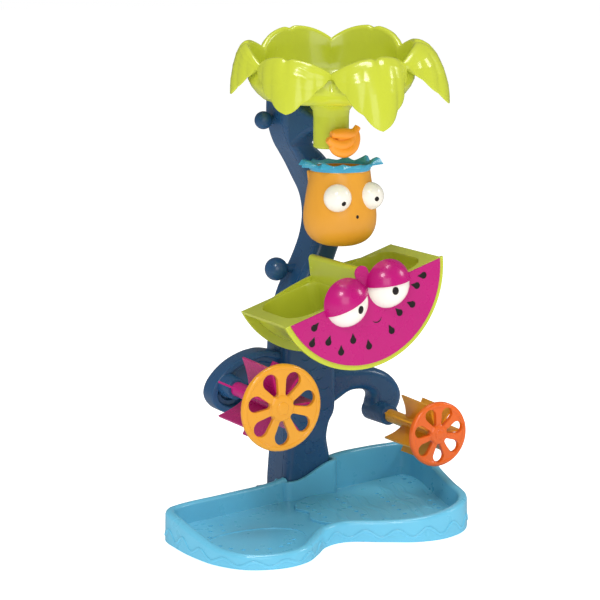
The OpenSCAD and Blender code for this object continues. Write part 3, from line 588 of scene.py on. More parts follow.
def arm(name, line, sections, hub, boss, node):
    outline = through(line, 5)
    rings = []
    for depth, y in sections:
        ring = inset(outline, depth)
        # Both ends stay near the root inside the trunk, so no ring folds over itself there.
        for end in (0, -1):
            ring[end].x = outline[end].x + ROOT_SHARE * (ring[end].x - outline[end].x)
        rings.append([(p.x, y, p.y) for p in ring])
    barrel = [*BARREL_FRONT, (boss, BARREL_BACK), (boss - BARREL_EDGE, BARREL_END), (0, BARREL_END)]
    whole = carve(lofted(rings), [spun(barrel, (hub[0], 0, hub[1]), "Y", 64)])
    dress(whole, name, NAVY, "tower", [node])


arm("right_curl_arm", RIGHT_ARM, ROUND_ARM, RIGHT_HUB, 10.5, "right_arm")
arm("left_curl_arm", LEFT_ARM, DISHED_ARM, LEFT_HUB, 12, "left_arm")

# %% [markdown]
# Two ball pegs stand on the left of the trunk. A ball with a short neck is a turned form, so it is one spun
# profile about its own axis, which points along X.

# %% Ball pegs
# Middle and radius of each ball, and the reach of its neck
PEGS = {"upper_ball_peg": ((-34.5, 4, 350), 8, 13), "lower_ball_peg": ((-22, 4, 216.5), 10.5, 23)}
PEG_NECK = 4
for node, (place, r, reach) in PEGS.items():
    profile = arc_points((0, 0), r, -90, math.degrees(math.acos(PEG_NECK / r)), 28)
    profile[0] = (0, -r)
    peg = spun(profile + [(PEG_NECK, reach), (0, reach)], place, "X", 64)
    dress(peg, node.replace("ball_peg", "coconut_peg"), NAVY, "tower", [node])

# %% [markdown]
# A bracket carries the spout. On the real piece it flares into the trunk, so its rings grow towards the
# trunk in a curve and the two run together.

# %% Bracket
BRACKET_FROM, BRACKET_TO, BRACKET_RINGS = -21.5, -44, 14
# Left, right, low and high side at the spout, and how far each has moved at the trunk
BRACKET_BOX, BRACKET_GROWTH = (-11, 8, 343, 357), (-11.5, -9, -15, 12)
BRACKET_CURVE, BRACKET_EDGE = 2.4, 4
rings = []
for k in range(BRACKET_RINGS + 1):
    flare = (1 - k / BRACKET_RINGS) ** BRACKET_CURVE
    left, right, low, high = [side + grow * flare for side, grow in zip(BRACKET_BOX, BRACKET_GROWTH)]
    y = BRACKET_FROM + (BRACKET_TO - BRACKET_FROM) * k / BRACKET_RINGS
    corners = [(x, z, BRACKET_EDGE) for x, z in ((left, low), (right, low), (right, high), (left, high))]
    rings.append([(p.x, y, p.y) for p in soft_outline(corners)])
dress(lofted(rings), "canopy_gusset", NAVY, "tower", ["canopy_bracket"])

# %% [markdown]
# The tap plug, the screws and the axles are plain machined or moulded shapes that the frame already has
# right. A merged copy with rounded edges is all that they need.

# %% Plug, screws and axles
dress(solid(softened("tap_plug", 0.4)), "soft_tap_plug", BANANA, "tap", ["tap_plug"])
STEEL_EDGES = {"trunk_screws": 0.25, "foot_screws": 0.25, "pineapple_axle": 0.3, "melon_axle": 0.3,
               "left_wheel_axle": 0.3, "right_wheel_axle": 0.3}
for node, width in STEEL_EDGES.items():
    dress(solid(softened(node, width)), "soft_" + node, STEEL, "tower", [node])

# %% [markdown]
# The leaf bowl is one moulding: a round bowl whose rim swells into six leaves that fall over outside it. A
# grid runs once round the axis and once round the section, up the inside, over the crest, out to the leaf's
# edge, and back down under it. The share v is 0 on a leaf's midrib and 1 in the valley between two leaves.
# The leaf edges step towards the tip, and low veins slope away from the midrib.

# %% Leaf bowl
LEAF_STEPS, FALL_ROWS = 64, 48
CREST_R, CREST_IN, CREST_H = 73, 4, 64
VALLEY_DROP, VALLEY_CURVE, RIB_DROP, RIB_WIDE, LEAF_T = 12, 2.2, 1.8, 0.08, 2
LEAN, LEAN_WAY = math.tan(math.radians(9.4)), math.radians(237)
# Leaves from the front one, anticlockwise: tip radius, tip height and sideways turn of the tip in degrees
LEAVES = [(97, 9, -3.5), (102, 10, 1), (96, 14, 0), (92, 16, 0), (87, 22, 6), (86, 21, 4)]
EDGE_STEPS, STEP_SHARE, STEP_CURVE = 3, 0.5, 2.6
EDGE_RISE, EDGE_CURVE, EDGE_OUT, EDGE_BELOW = 1.12, 1.1, 1.15, 4
VEINS, VEIN_SLANT, VEIN_H, VEIN_WIDE = 5, 2.2, 0.3, 0.13
FOLD_DEEP, FOLD_WIDE, FOLD_SPAN = 0.5, 0.1, 1.15
BOWL_WIDE = (71.5, 33)
FALL = [0.06 + 0.94 * k / FALL_ROWS for k in range(FALL_ROWS + 1)]
UNDER = (0.92, 0.8, 0.66, 0.52, 0.38)
# Radius, height and share of the lean, up the inside of the bowl and down its outside
BOWL_INSIDE = [(12, 0, 0), (12.5, 4, 0), (15, 9, 0), (24, 14.5, 0), (37, 14.8, 0), (50, 15.2, 0),
               (57, 18, 0.1), (61.5, 23, 0.25), (66, 29, 0.45), (68.5, 35, 0.65)]
BOWL_OUTSIDE = [(*BOWL_WIDE, 0.6), (68.5, 26.5, 0.4), (64, 20.5, 0.2), (58.5, 15.5, 0.1), (52, 12.6, 0),
                (46, 12, 0), (26, 12, 0), (19, 9.5, 0), (16, 5, 0), (15.5, 0, 0)]


def crest(v):
    """Radius and height of the bowl's rim."""
    rib = RIB_DROP * math.exp(-(v / RIB_WIDE) ** 2)
    return CREST_R - CREST_IN * v * v, CREST_H - VALLEY_DROP * v ** VALLEY_CURVE - rib


def stepped(v):
    """Share v with steps in it, as the leaf edge has."""
    whole = math.floor(v * EDGE_STEPS)
    part = v * EDGE_STEPS - whole
    return (1 - STEP_SHARE) * v + STEP_SHARE * (whole + part ** STEP_CURVE) / EDGE_STEPS


def leaf_edge(v, tip):
    """Radius and height of a leaf's edge, which slants from the valley to the tip."""
    s = stepped(v)
    rise = min(EDGE_RISE * s ** EDGE_CURVE, 1)
    return (tip[0] - (tip[0] - BOWL_WIDE[0]) * s ** EDGE_OUT,
            tip[1] + (crest(1)[1] - EDGE_BELOW - tip[1]) * rise)


def vein(v, t):
    """Height of the veins, which fade out at the crest, at the edge and in the valley."""
    phase = VEINS * t - VEIN_SLANT * v
    ridge = math.exp(-((phase - round(phase)) / VEIN_WIDE) ** 2)
    return VEIN_H * ridge * math.sin(math.pi * t) ** 0.7 * (1 - v ** 6)


def leaf_drop(v, tip, t, off):
    """Point of the falling leaf at share t from the crest to its edge, moved in by off."""
    (r0, z0), (r1, z1) = crest(v), leaf_edge(v, tip)
    fold = FOLD_DEEP * math.exp(-(v / FOLD_WIDE) ** 2) * math.sin(math.pi * min(t * FOLD_SPAN, 1))
    out = -off if off else vein(v, t)
    return (r0 + (r1 - r0) * math.sin(math.pi / 2 * t) + out - fold,
            z0 + (z1 - z0) * (1 - math.cos(math.pi / 2 * t)) + min(out, 0), 1, tip[2] * (1 - v) * t)


def bowl_section(v, tip):
    """Closed section at v: radius, height, share of the lean and sideways turn."""
    (rc, zc), (re, ze) = crest(v), leaf_edge(v, tip)
    turn = tip[2] * (1 - v)
    return [*[(*p, 0) for p in BOWL_INSIDE],
            (rc - 3.8, 0.5 * zc + 17, 0.9, 0), (rc - 3, zc - 3, 1, 0), (rc - 1.6, zc - 0.6, 1, 0),
            (rc, zc, 1, 0), *[leaf_drop(v, tip, t, 0) for t in FALL],
            (re - 0.9, ze - 0.5, 1, turn), (re - LEAF_T, ze + 0.5, 1, turn),
            *[leaf_drop(v, tip, t, LEAF_T) for t in UNDER],
            (rc - 0.4, zc - 5, 1, 0), (rc - 0.8, 0.5 * zc + 16, 0.85, 0), *[(*p, 0) for p in BOWL_OUTSIDE]]


columns = []
count = LEAF_STEPS * len(LEAVES)
for i in range(count):
    p = (i % LEAF_STEPS) / LEAF_STEPS
    v = 2 * min(p, 1 - p)
    tip = LEAVES[(i + LEAF_STEPS // 2) // LEAF_STEPS % len(LEAVES)]
    column = []
    for r, h, share, turn in bowl_section(v, tip):
        a = math.radians(270 + i * 360 / count + turn)
        lean = share * LEAN * r * math.cos(a - LEAN_WAY)
        column.append(BOWL_AXIS + Vector((r * math.cos(a), r * math.sin(a), h - lean)))
    columns.append(column)
dress(lofted(columns, loop=True), "palm_leaf_bowl", LIME, "tower", ["leaf_canopy"], 60)

# %% [markdown]
# The spout is a turned barrel with a round lower lip and a waterway. It is a spun profile that runs down
# the outside and up through the bore.

# %% Spout
SPOUT_R, SPOUT_LOW, SPOUT_TOP = 15.5, 329.5, 357
SPOUT_LIP, FUNNEL_R, MOUTH_R, WATERWAY = 2.5, 12, 11.5, 4.5
lip = arc_points((SPOUT_R - SPOUT_LIP, SPOUT_LOW + SPOUT_LIP), SPOUT_LIP, 0, -90, 8)
barrel = [(FUNNEL_R, SPOUT_TOP), (SPOUT_R, SPOUT_TOP), *lip, (MOUTH_R, SPOUT_LOW), (WATERWAY, SPOUT_LOW + 3),
          (WATERWAY, SPOUT_TOP - 7), (FUNNEL_R, SPOUT_TOP)]
dress(spun(barrel, (BOWL_AXIS.x, BOWL_AXIS.y, 0)), "palm_spout", LIME, "tower", ["spout"], 50)

# %% [markdown]
# The tap handle is a small bunch of three bananas. Each finger is a round section that swells and tapers
# along a bent line, and all three share a stem.

# %% Banana tap handle
BANANA_Y = -77.8
# Each finger from its tip to the stem, with its radius
BANANAS = [([(-13, 334.2), (-7.5, 329), (0.5, 327.4), (8, 331), (11.3, 338), (11.5, 345)], 4.7),
           ([(-16.3, 339.5), (-9.5, 335.2), (-1, 334), (6, 337.3), (10, 344)], 4.7),
           ([(-13, 343.2), (-6, 343.6), (1, 343.2), (7, 343.2), (10.5, 345.5)], 4.8)]
FINGER_SIDES, FINGER_END, FINGER_CURVE = 24, 0.3, 0.4
TAP_HUB, TAP_HUB_Z = [(0, -2), (6.2, -2), (6.2, 5), (0, 5)], 341
STEM_PLACE, STEM_LEAN = (11.4, BANANA_Y, 346.2), math.radians(38)
STEM_R, STEM_TOP_R, STEM_LONG, STEM_EDGE = 3.4, 2.9, 7, 0.5


def finger(line, radius):
    way = through(line, 7)
    turns = [math.tau * j / FINGER_SIDES for j in range(FINGER_SIDES)]
    rings = []
    for k, here in enumerate(way):
        ahead = heading(way, k)
        across = Vector((-ahead.y, ahead.x)).normalized()
        swell = math.sin(math.pi * (k + 0.5) / len(way)) ** FINGER_CURVE
        r = radius * (FINGER_END + (1 - FINGER_END) * swell)
        rings.append([(here.x + r * math.cos(a) * across.x, BANANA_Y + r * math.sin(a),
                       here.y + r * math.cos(a) * across.y) for a in turns])
    return lofted(rings)


knob, *others = [finger(*form) for form in BANANAS]
carve(knob, [*others, spun(TAP_HUB, (BOWL_AXIS.x, BANANA_Y, TAP_HUB_Z), "Y", 48)])
bm = bmesh.new()
post(bm, (0, 0, 0), STEM_R, STEM_LONG, 24, STEM_TOP_R)
round_edges(bm, bm.edges[:], STEM_EDGE, 2)
on_the_bunch = Matrix.Translation(Vector(STEM_PLACE) * MM) @ Matrix.Rotation(STEM_LEAN, 4, "Y")
bmesh.ops.transform(bm, verts=bm.verts, matrix=on_the_bunch)
carve(knob, [solid(bm)])
dress(knob, "banana_bunch", BANANA, "tap", ["banana_knob"], 45)

# %% [markdown]
# The pineapple is a cup that tips on an axle behind it. A cup is turned, so it is a spun profile, up the
# outside and down the inside, with a hub at the back. Its eyes are balls with a printed pupil, and its
# mouth is a small moulded dot.

# %% Pineapple cup
CUP_X, CUP_Y, CUP_LOW = 8, -57, 244
# Radius and height: the curve of the outside, the step at its top, and the curve of the inside
CUP_OUT = [(0, 0), (14, 1), (24.5, 6), (30.5, 15), (32, 27), (30, 43), (27.4, 58), (26.4, 65.6)]
CUP_STEP = [(25.6, 67), (24, 67.2), (24, 69)]
CUP_IN = [(22, 69), (22.6, 62), (25, 52), (28.6, 30), (28, 18), (20, 9.5), (0, 8)]
CUP_HUB, CUP_HUB_Z = [(0, -39), (5.7, -39), (6.5, -38.2), (6.5, -24.8), (5.7, -24), (0, -24)], 298
EAR_PLACE, EAR_LEAN, EAR_R, EAR_TIP, EAR_LONG = (CUP_X - 23, CUP_Y + 11, 304.5), -28, 5, 1, 12
outside = through(CUP_OUT, 5) + [Vector(p) for p in CUP_STEP]
profile = [(max(p.x, 0), p.y) for p in outside + through(CUP_IN, 5)]
cup = spun(profile, (CUP_X, CUP_Y, CUP_LOW))
bm = bmesh.new()
turned(bm, CUP_HUB, (CUP_X, 0, CUP_HUB_Z), "Y", 48)
post(bm, EAR_PLACE, EAR_R, EAR_LONG, 20, EAR_TIP, EAR_LEAN, "Y")
carve(cup, [solid(bm)])
dress(cup, "pineapple_bowl", PINE, "pineapple", ["pineapple_cup"], 45)

# %% Pineapple eyes and mouth
EYE_SPREAD, EYE_Z, EYE_OUT, EYE_R, EYE_CUT = 34, 289, 29, 12, 2.5
# Way from the middle of each eye to its pupil: right, up and out
PUPIL_WAYS = {-1: (0.511, -0.306, 0.803), 1: (-0.577, -0.115, 0.808)}
# Half width, half height and bulge of the pupils and of the mouth, and how deep a pupil sits
PUPIL_FORM, MOUTH_FORM, PUPIL_SINK = (2.1, 2.1, 0.6), (1.3, 1.6, 0.5), 0.1
MOUTH_TURN, MOUTH_Z, MOUTH_OUT = -1.8, 272.7, 31.9


def round_the_cup(degrees):
    """Way out of the cup's side, at an angle from its front."""
    turn = math.radians(degrees)
    return Vector((math.sin(turn), -math.cos(turn), 0))


def spot(bm, place, way, form):
    """Small lens that lies on a surface at place and faces along way."""
    made = bmesh.ops.create_uvsphere(bm, u_segments=32, v_segments=16, radius=MM)["verts"]
    facing = way.to_track_quat("Z", "Y").to_matrix().to_4x4()
    shape = Matrix.Translation(place * MM) @ facing @ Matrix.Diagonal((*form, 1))
    bmesh.ops.transform(bm, verts=made, matrix=shape)


pupils = bmesh.new()
for side, name in ((-1, "left"), (1, "right")):
    out = round_the_cup(side * EYE_SPREAD)
    right = Vector((-out.y, out.x, 0))
    middle = Vector((CUP_X, CUP_Y, EYE_Z)) + EYE_OUT * out
    bm = cut_ball(middle, EYE_R, 64, (middle - EYE_CUT * out, out))
    close_holes(bm)
    node = f"pineapple_{name}_eye"
    dress(solid(bm), f"pineapple_{name}_eyeball", CREAM, "pineapple", [node])
    r, u, o = PUPIL_WAYS[side]
    way = r * right + u * UP + o * out
    spot(pupils, middle + (EYE_R - PUPIL_SINK) * way, way, PUPIL_FORM)
mouth_way = round_the_cup(MOUTH_TURN)
spot(pupils, Vector((CUP_X, CUP_Y, MOUTH_Z)) + MOUTH_OUT * mouth_way, mouth_way, MOUTH_FORM)
dress(solid(pupils), "pineapple_pupils_and_mouth", INK, "pineapple", ())

# %% [markdown]
# The crown round the pineapple's neck is a ring of pointed leaves that arch up and droop at their tips. It
# is lofted like the bowl, with a section that grows towards each tip. The leaves at its sides are long, and
# those in front and towards the trunk are short, so that the cup can tip.

# %% Pineapple crown
CROWN_STEPS, CROWN_Z, CROWN_R, CROWN_CURVE, CROWN_ARCH = 16, 309.9, 28, 1.5, 0.42
# Reach of each leaf, anticlockwise from the one next to the right. The front right one clears the tap handle.
CROWN_REACH = [39, 35, 31, 32, 36, 38, 36, 33, 31, 29.5, 39]
# Radius and height of the section over and under a leaf, each with the share that it takes of leaf and arch
CROWN_LEAF = [(25.4, 0, 4.8, 0.3), (26.4, 0.28, 5.8, 0.8), (27, 0.5, 6, 1), (27.5, 0.74, 5.6, 0.85),
              (28, 1, 4.2, 0.1), (27.8, 0.97, 3.7, 0.1), (27.3, 0.72, 4.3, 0.8), (27, 0.47, 4.4, 0.9),
              (26.8, 0.2, 3.2, 0.5)]
CROWN_INSIDE, CROWN_FOOT = [(24.1, 0), (24.1, 2.4), (24.5, 4)], [(26.6, 1.2), (26, 0)]


def crown_section(v, reach):
    """Closed section of the crown: radius and height above the shoulder."""
    grown = (reach - CROWN_R) * (1 - v) ** CROWN_CURVE
    arch = CROWN_ARCH * grown
    leaf = [(r + share * grown, h + lift * arch) for r, share, h, lift in CROWN_LEAF]
    return CROWN_INSIDE + leaf + CROWN_FOOT


columns = []
count = CROWN_STEPS * len(CROWN_REACH)
for i in range(count):
    p = i % CROWN_STEPS / CROWN_STEPS
    a = math.tau * i / count
    section = crown_section(abs(2 * p - 1), CROWN_REACH[i // CROWN_STEPS])
    columns.append([(CUP_X + r * math.cos(a), CUP_Y + r * math.sin(a), CROWN_Z + h) for r, h in section])
crown = lofted(columns, loop=True)
dress(crown, "pineapple_crown", TEAL, "pineapple", ["pineapple_collar"], 50)

# %% [markdown]
# The melon is a slice that rocks: a lime trough with a pocket on each side of a divider, and a magenta face
# on its front. It is drawn upright, with the middle of its straight edge at the origin, and then tilted as
# one.

# %% Melon trough
MELON_HALF, MELON_DEEP, MELON_FRONT, MELON_BACK = 81.5, 67, -113, -28
MELON_R = (MELON_HALF ** 2 + MELON_DEEP ** 2) / (2 * MELON_DEEP)
MELON_MID = MELON_R - MELON_DEEP
FLANGE, DIVIDER_TOP, DIVIDER_HALF, DIVIDER_R = 4, 22, 7, 4
MELON_PIVOT, MELON_DROP, MELON_TILT = Vector((10.5, 0, 183.6)), 30, math.radians(-17.5)
POCKET_END, POCKET_R, POCKET_END_R, POCKET_FLOOR = 68, 10, 20, 12
# Inset and height of each ring of a pocket, from below its floor to above its edge
POCKET_RINGS = ((5, -70), (1.2, -12), (0, -1.5), (-1, 0), (-1.4, 30))
POCKET_LID = [(75, 40), (-75, 40)]
MELON_HUB = [(0, -31), (8, -31), (8, -24.7), (7.4, -24), (0, -24)]
STOP, STOP_FAR, STOP_NEAR = [(-2.5, -44), (2.5, -44), (2.5, -30), (-2.5, -30)], -27, -24
in_melon = (Matrix.Translation(MELON_PIVOT * MM) @ Matrix.Rotation(MELON_TILT, 4, "Y")
            @ Matrix.Translation(Vector((0, 0, MELON_DROP)) * MM))


def slice_outline(less, top=0, steps=64):
    """Segment of a circle below the straight edge, smaller by less."""
    r = MELON_R - less
    end = math.degrees(math.asin((MELON_MID - top) / r))
    return arc_points((0, MELON_MID), r, 180 + end, 360 - end, steps)


def plate(outline, near, far, soft=0):
    return slab(outline, near, far, soft, "Y")


def pocket(side):
    """Space of one pocket: round-ended seen from above, with the slice's own curve for a floor."""
    near, far = MELON_FRONT + FLANGE + 3, MELON_BACK - 6
    x0, x1 = sorted((side * (DIVIDER_HALF + 1), side * POCKET_END))
    r0, r1 = (POCKET_R, POCKET_END_R)[::side]
    plan = soft_outline([(x0, near, r0), (x1, near, r1), (x1, far, r1), (x0, far, r0)], 10)
    walls = lofted([[(p.x, p.y, h) for p in inset(plan, d)] for d, h in POCKET_RINGS])
    floor = plate(slice_outline(POCKET_FLOOR, -0.5) + POCKET_LID, near - 5, far + 5)
    return carve(walls, [floor], "INTERSECT")


def dress_melon(ob, name, finish, nodes, fold=38):
    """Tilts a piece that was drawn upright, and dresses it."""
    ob.data.transform(in_melon)
    dress(ob, name, finish, "melon", nodes, fold)


hump = [(-55, -8), (55, -8), *reversed(arc_points((0, -262), 266, 102, 78, 24))]
ridge = arc_points((0, DIVIDER_TOP - DIVIDER_R), DIVIDER_R, 20, 160, 8)
divider = [(-DIVIDER_HALF - 2, -2), (DIVIDER_HALF + 2, -2), (DIVIDER_HALF, 2), *ridge, (-DIVIDER_HALF, 2)]
deck = [(-MELON_HALF + 2.5, -3), (MELON_HALF - 2.5, -3), (MELON_HALF - 2, -0.1), (-MELON_HALF + 2, -0.1)]
trough = plate(slice_outline(0), MELON_FRONT, MELON_FRONT + FLANGE, 0.9)
carve(trough, [plate(slice_outline(1.5, -0.2), MELON_BACK - 3, MELON_BACK, 0.8),
               plate(hump, MELON_BACK - 2.9, MELON_BACK - 0.1, 0.6),
               plate(slice_outline(9, -0.4), MELON_FRONT + 2, MELON_BACK - 1),
               plate(deck, MELON_FRONT + 1, MELON_BACK - 1),
               plate(divider, MELON_FRONT + 0.2, MELON_BACK - 1.2, 0.6)])
carve(trough, [pocket(-1), pocket(1)], "DIFFERENCE")
carve(trough, [spun(MELON_HUB, (0, 0, -MELON_DROP), "Y", 48), plate(STOP, STOP_FAR, STOP_NEAR, 0.3)])
dress_melon(trough, "melon_rocker", LIME, ["melon_trough"], 32)

# %% [markdown]
# The face is a thin panel with a tab between the eyes, and its seeds are set into it. Merged copies with
# soft edges keep both, with every seed grown a little about its own middle. The smile is a fine raised
# line.

# %% Melon face, seeds and smile
SEED_GROWTH = 1.3
FACE_FRONT = MELON_FRONT - 1.6
SMILE_MIDDLE, SMILE_R, SMILE_HIGH, SMILE_WIDE = (2.4, -24.2), 5, 0.45, 0.5
dress(solid(softened("melon_face", 0.5)), "melon_flesh", MAGENTA, "melon", ["melon_face"])
bm = softened("melon_seeds", 0.35)
left_over = set(bm.verts)
while left_over:
    seed = [left_over.pop()]
    for v in seed:
        near = {e.other_vert(v) for e in v.link_edges} & left_over
        left_over -= near
        seed += near
    middle = sum((v.co for v in seed), Vector()) / len(seed)
    bmesh.ops.scale(bm, vec=(SEED_GROWTH, 1, SEED_GROWTH), space=Matrix.Translation(-middle), verts=seed)
dress(solid(bm), "melon_pips", INK, "melon", ["melon_seeds"])
smile = [Vector((x, FACE_FRONT, z)) for x, z in arc_points(SMILE_MIDDLE, SMILE_R, 205, 335, 12)]
bm = bmesh.new()
bead(bm, smile, [OUT_FRONT] * len(smile), SMILE_HIGH, SMILE_WIDE)
dress_melon(solid(bm), "melon_smile", INK, ())

# %% [markdown]
# Two big eyes bulge from the face, each under a heavy lid. An eye is a ball cut by the face. Its lid is a
# slightly larger ball that is cut by the face, by the other lid and by the sloping lid line, and then given
# a wall.

# %% Melon eyes and lids
MELON_EYE_X, MELON_EYE_Z, BALL_R, CAP_R = 21.5, -2, 21.2, 20.4
BALL_SINK = math.sqrt(BALL_R ** 2 - CAP_R ** 2)
LID_T, LID_SLOPE, LID_GAP = 1.6, math.radians(10), 0.2
# Share of the lid's thickness that its wall takes, which leaves the eye a little room
LID_WALL = 0.94
# How far each ball is let into the face
EYE_LET_IN, LID_LET_IN = 0.5, 0.2
# Pupils as places along and above the straight edge
MELON_PUPILS = {-1: (-17.3, -7.3), 1: (18.8, -4.5)}
MELON_PUPIL_FORM = (3, 3.7, 0.8)
# Height of each lid's edge above the middle of its eye
LID_EDGE = {-1: 0, 1: 2}
pupils = bmesh.new()
for side, name in ((-1, "left"), (1, "right")):
    middle = Vector((side * MELON_EYE_X, FACE_FRONT + BALL_SINK, MELON_EYE_Z))
    bm = cut_ball(middle, BALL_R, 72, (Vector((0, FACE_FRONT + EYE_LET_IN, 0)), OUT_FRONT))
    close_holes(bm)
    dress_melon(solid(bm), f"melon_{name}_eyeball", CREAM, [f"melon_{name}_eye"])
    slope = Vector((side * math.sin(LID_SLOPE), 0, math.cos(LID_SLOPE)))
    lid_line = Vector((side * MELON_EYE_X, 0, MELON_EYE_Z)) + LID_EDGE[side] * slope
    bm = cut_ball(middle, BALL_R + LID_T, 96, (lid_line, slope),
                  (Vector((0, FACE_FRONT + LID_LET_IN, 0)), OUT_FRONT),
                  (Vector((side * LID_GAP, 0, 0)), Vector((side, 0, 0))))
    bmesh.ops.recalc_face_normals(bm, faces=bm.faces)
    bmesh.ops.solidify(bm, geom=bm.faces[:], thickness=LID_T * LID_WALL * MM)
    dress_melon(solid(bm), f"melon_{name}_eyelid", MAGENTA, [f"melon_{name}_lid"], 45)
    u, w = MELON_PUPILS[side]
    flat = Vector((u - side * MELON_EYE_X, 0, w - MELON_EYE_Z))
    way = Vector((flat.x, -math.sqrt(BALL_R ** 2 - flat.length_squared), flat.z)) / BALL_R
    spot(pupils, middle + (BALL_R - PUPIL_SINK) * way, way, MELON_PUPIL_FORM)
dress_melon(solid(pupils), "melon_pupils", INK, ())

# %% [markdown]
# Each wheel is a disc with seven drop-shaped openings and a paddle of seven blades behind it. The disc is a
# spun profile with a lip round its rim and a stepped hub, and the openings are cut from it by drops that
# flare at both faces, which leaves their edges soft. The paddle's shape is right in the frame, so a merged
# copy is rounded.

# %% Wheels
WHEELS = {"left": (LEFT_HUB, 37.5, AMBER, MAGENTA, "amber_plastic", "magenta_plastic"),
          "right": (RIGHT_HUB, 29, ORANGE, AMBER, "orange_plastic", "amber_plastic")}
DISC_FRONT, OPENINGS, PADDLE_EDGE = -110, 7, 0.35
# How much a drop grows at each depth of the disc
DROP_RINGS = ((1.2, -2), (0.7, 0), (0.2, 0.25), (0, 0.8), (0, 3.8), (0.2, 4.3), (0.7, 4.5), (1.2, 6.5))
# Radius of a drop's two ends and their reach, as shares of the wheel's radius
DROP_BULB, DROP_TIP, DROP_FAR, DROP_NEAR = 0.185, 0.07, 0.86, 0.3


def wheel_disc(hub, r):
    """Disc with a stepped hub that scales with the wheel, and a lip of fixed width."""
    middle = [(0, -2.3), (0.12 * r, -2.3), (0.14 * r, -2), (0.15 * r, -1.5), (0.3 * r - 2, -1.5),
              (0.3 * r - 0.6, -0.9), (0.31 * r, 0)]
    lip = [(r - 4.4, 0), (r - 4, -0.5), (r - 3.2, -0.8), (r - 1.8, -0.7), (r - 0.6, 0.1), (r, 1.3), (r, 3.4),
           (r - 0.9, 4.5), (0, 4.5)]
    return spun(middle + lip, (hub[0], DISC_FRONT, hub[1]), "Y", 128)


def drop_cutter(hub, r, turn):
    """Space of one opening: narrow towards the hub, round and wide towards the rim."""
    bulb, tip = DROP_BULB * r, DROP_TIP * r
    far, near = DROP_FAR * r - bulb, DROP_NEAR * r + tip
    lean = math.degrees(math.asin((bulb - tip) / (far - near)))
    outline = [Vector(p) for p in arc_points((far, 0), bulb, -90 - lean, 90 + lean, 20)]
    outline += [Vector(p) for p in arc_points((near, 0), tip, 90 + lean, 270 - lean, 8)]
    place = Matrix.Rotation(turn, 2)
    rings = []
    for grow, y in DROP_RINGS:
        flat = [place @ p for p in inset(outline, -grow)]
        rings.append([(hub[0] + p.x, DISC_FRONT + y, hub[1] + p.y) for p in flat])
    return lofted(rings)


for side, (hub, r, disc_finish, paddle_finish, disc_slot, paddle_slot) in WHEELS.items():
    body = f"{side}_wheel"
    turns = [math.pi / 2 + math.tau * (i + 0.5) / OPENINGS for i in range(OPENINGS)]
    disc = carve(wheel_disc(hub, r), [drop_cutter(hub, r, turn) for turn in turns], "DIFFERENCE")
    dress(disc, f"{side}_disc", disc_finish, body, [f"{side}_wheel_disc"])
    node = f"{side}_wheel_paddle"
    dress(solid(softened(node, PADDLE_EDGE)), f"{side}_paddle", paddle_finish, body, [node])

# %% [markdown]
# The tray has a pool on the left and a raised beach on the right. Its rim rises and falls as it goes round,
# so its points carry a height, and every ring of the rim is that line moved inwards and down. The floor,
# the beach and the collar round the trunk are joined to it, with low ripples on the beach, and the pool's
# dish and the rows of drain holes are cut last.

# %% Tray rim
TRAY_FLOOR = 9.5
TRAY_LINE = [(112, 13, 40), (94, 11, 41), (72, 7, 42), (34, -0.5, 42), (0, -7.5, 36), (-40, -15.5, 28),
             (-92, -26, 27), (-140, -36, 27), (-160, -50, 27), (-163, -78, 25), (-161, -108, 20),
             (-154, -136, 14.5), (-137, -159, 12.5), (-109, -169.5, 12.5), (-84, -165, 13.5),
             (-66, -151, 15.5), (-49, -136, 17), (-27, -132, 18), (0, -147, 18.5), (26, -161, 21),
             (52, -164, 24), (77, -154, 26.5), (95, -132, 28), (104, -100, 29), (114, -62, 32),
             (123, -32, 35), (126, -9, 37.5), (122, 5, 39)]
# Each ring of the rim: inset, height above the ground, and whether it follows the rim's height
RIM_RINGS = [(10.6, 6.4, 0), (10.4, 9.2, 0), (9.9, 10.1, 0), (8.6, -2.8, 1), (8, -1.4, 1), (7, -0.4, 1),
             (5.6, 0, 1), (3.6, -0.1, 1), (2.2, -0.6, 1), (1.1, -1.7, 1), (0.5, -3.4, 1), (0.1, 1.2, 0),
             (0.3, 0.3, 0), (0.9, 0, 0), (2.4, 0, 0), (2.8, -4.6, 1), (5.7, -4.6, 1), (8.1, 6.4, 0)]
tray_curve = through(TRAY_LINE, 8, closed=True)
tray_plan = [p.xy for p in tray_curve]


def rim_ring(depth, low, follows):
    return [(q.x, q.y, low + follows * p.z) for q, p in zip(inset(tray_plan, depth), tray_curve)]


tray = lofted([rim_ring(*ring) for ring in RIM_RINGS], loop=True)
print("tray rim:", len(tray.data.polygons), "faces")

# %% Tray floor, beach and collar
BEACH_TOP, BEACH_EDGE, FLOOR_INSET, FLOOR_T = 12, 0.9, 9.3, 2.5
BEACH = [(100, -8), (60, -12), (30, -30), (4, -26), (-18, -34), (-34, -52), (-30, -70), (-38, -88),
         (-30, -108), (-10, -116), (14, -132), (40, -146), (66, -138), (82, -112), (92, -70), (104, -36)]
PAD_PLAN, PAD_TOP = [(-40, -30), (46, -30), (46, 20), (39, 28), (-33, 28), (-40, 20)], 8
# Ripples on the beach, each from its back end to its front end
RIPPLES = [((-4, -38), (-12, -112)), ((14, -38), (6, -122)), ((31, -42), (22, -134)), ((66, -30), (52, -134)),
           ((82, -24), (70, -116))]
RIPPLE_SWAY, RIPPLE_HIGH, RIPPLE_WIDE, RIPPLE_STEPS = Vector((2.2, 0, 0)), 0.8, 4.2, 30
# Left, front and right side of the collar's inner face, its corner and its two ends
COLLAR_LEFT, COLLAR_FRONT, COLLAR_RIGHT, COLLAR_R = -27, -22.4, 22.8, 5
COLLAR_START, COLLAR_END = -9, 0
# Distance from the inner face and height below the collar's edge
COLLAR_EDGE = [(0, 1.2), (0.5, 0.3), (1.5, 0), (3, 0), (4, 0.4), (4.4, 1.4)]


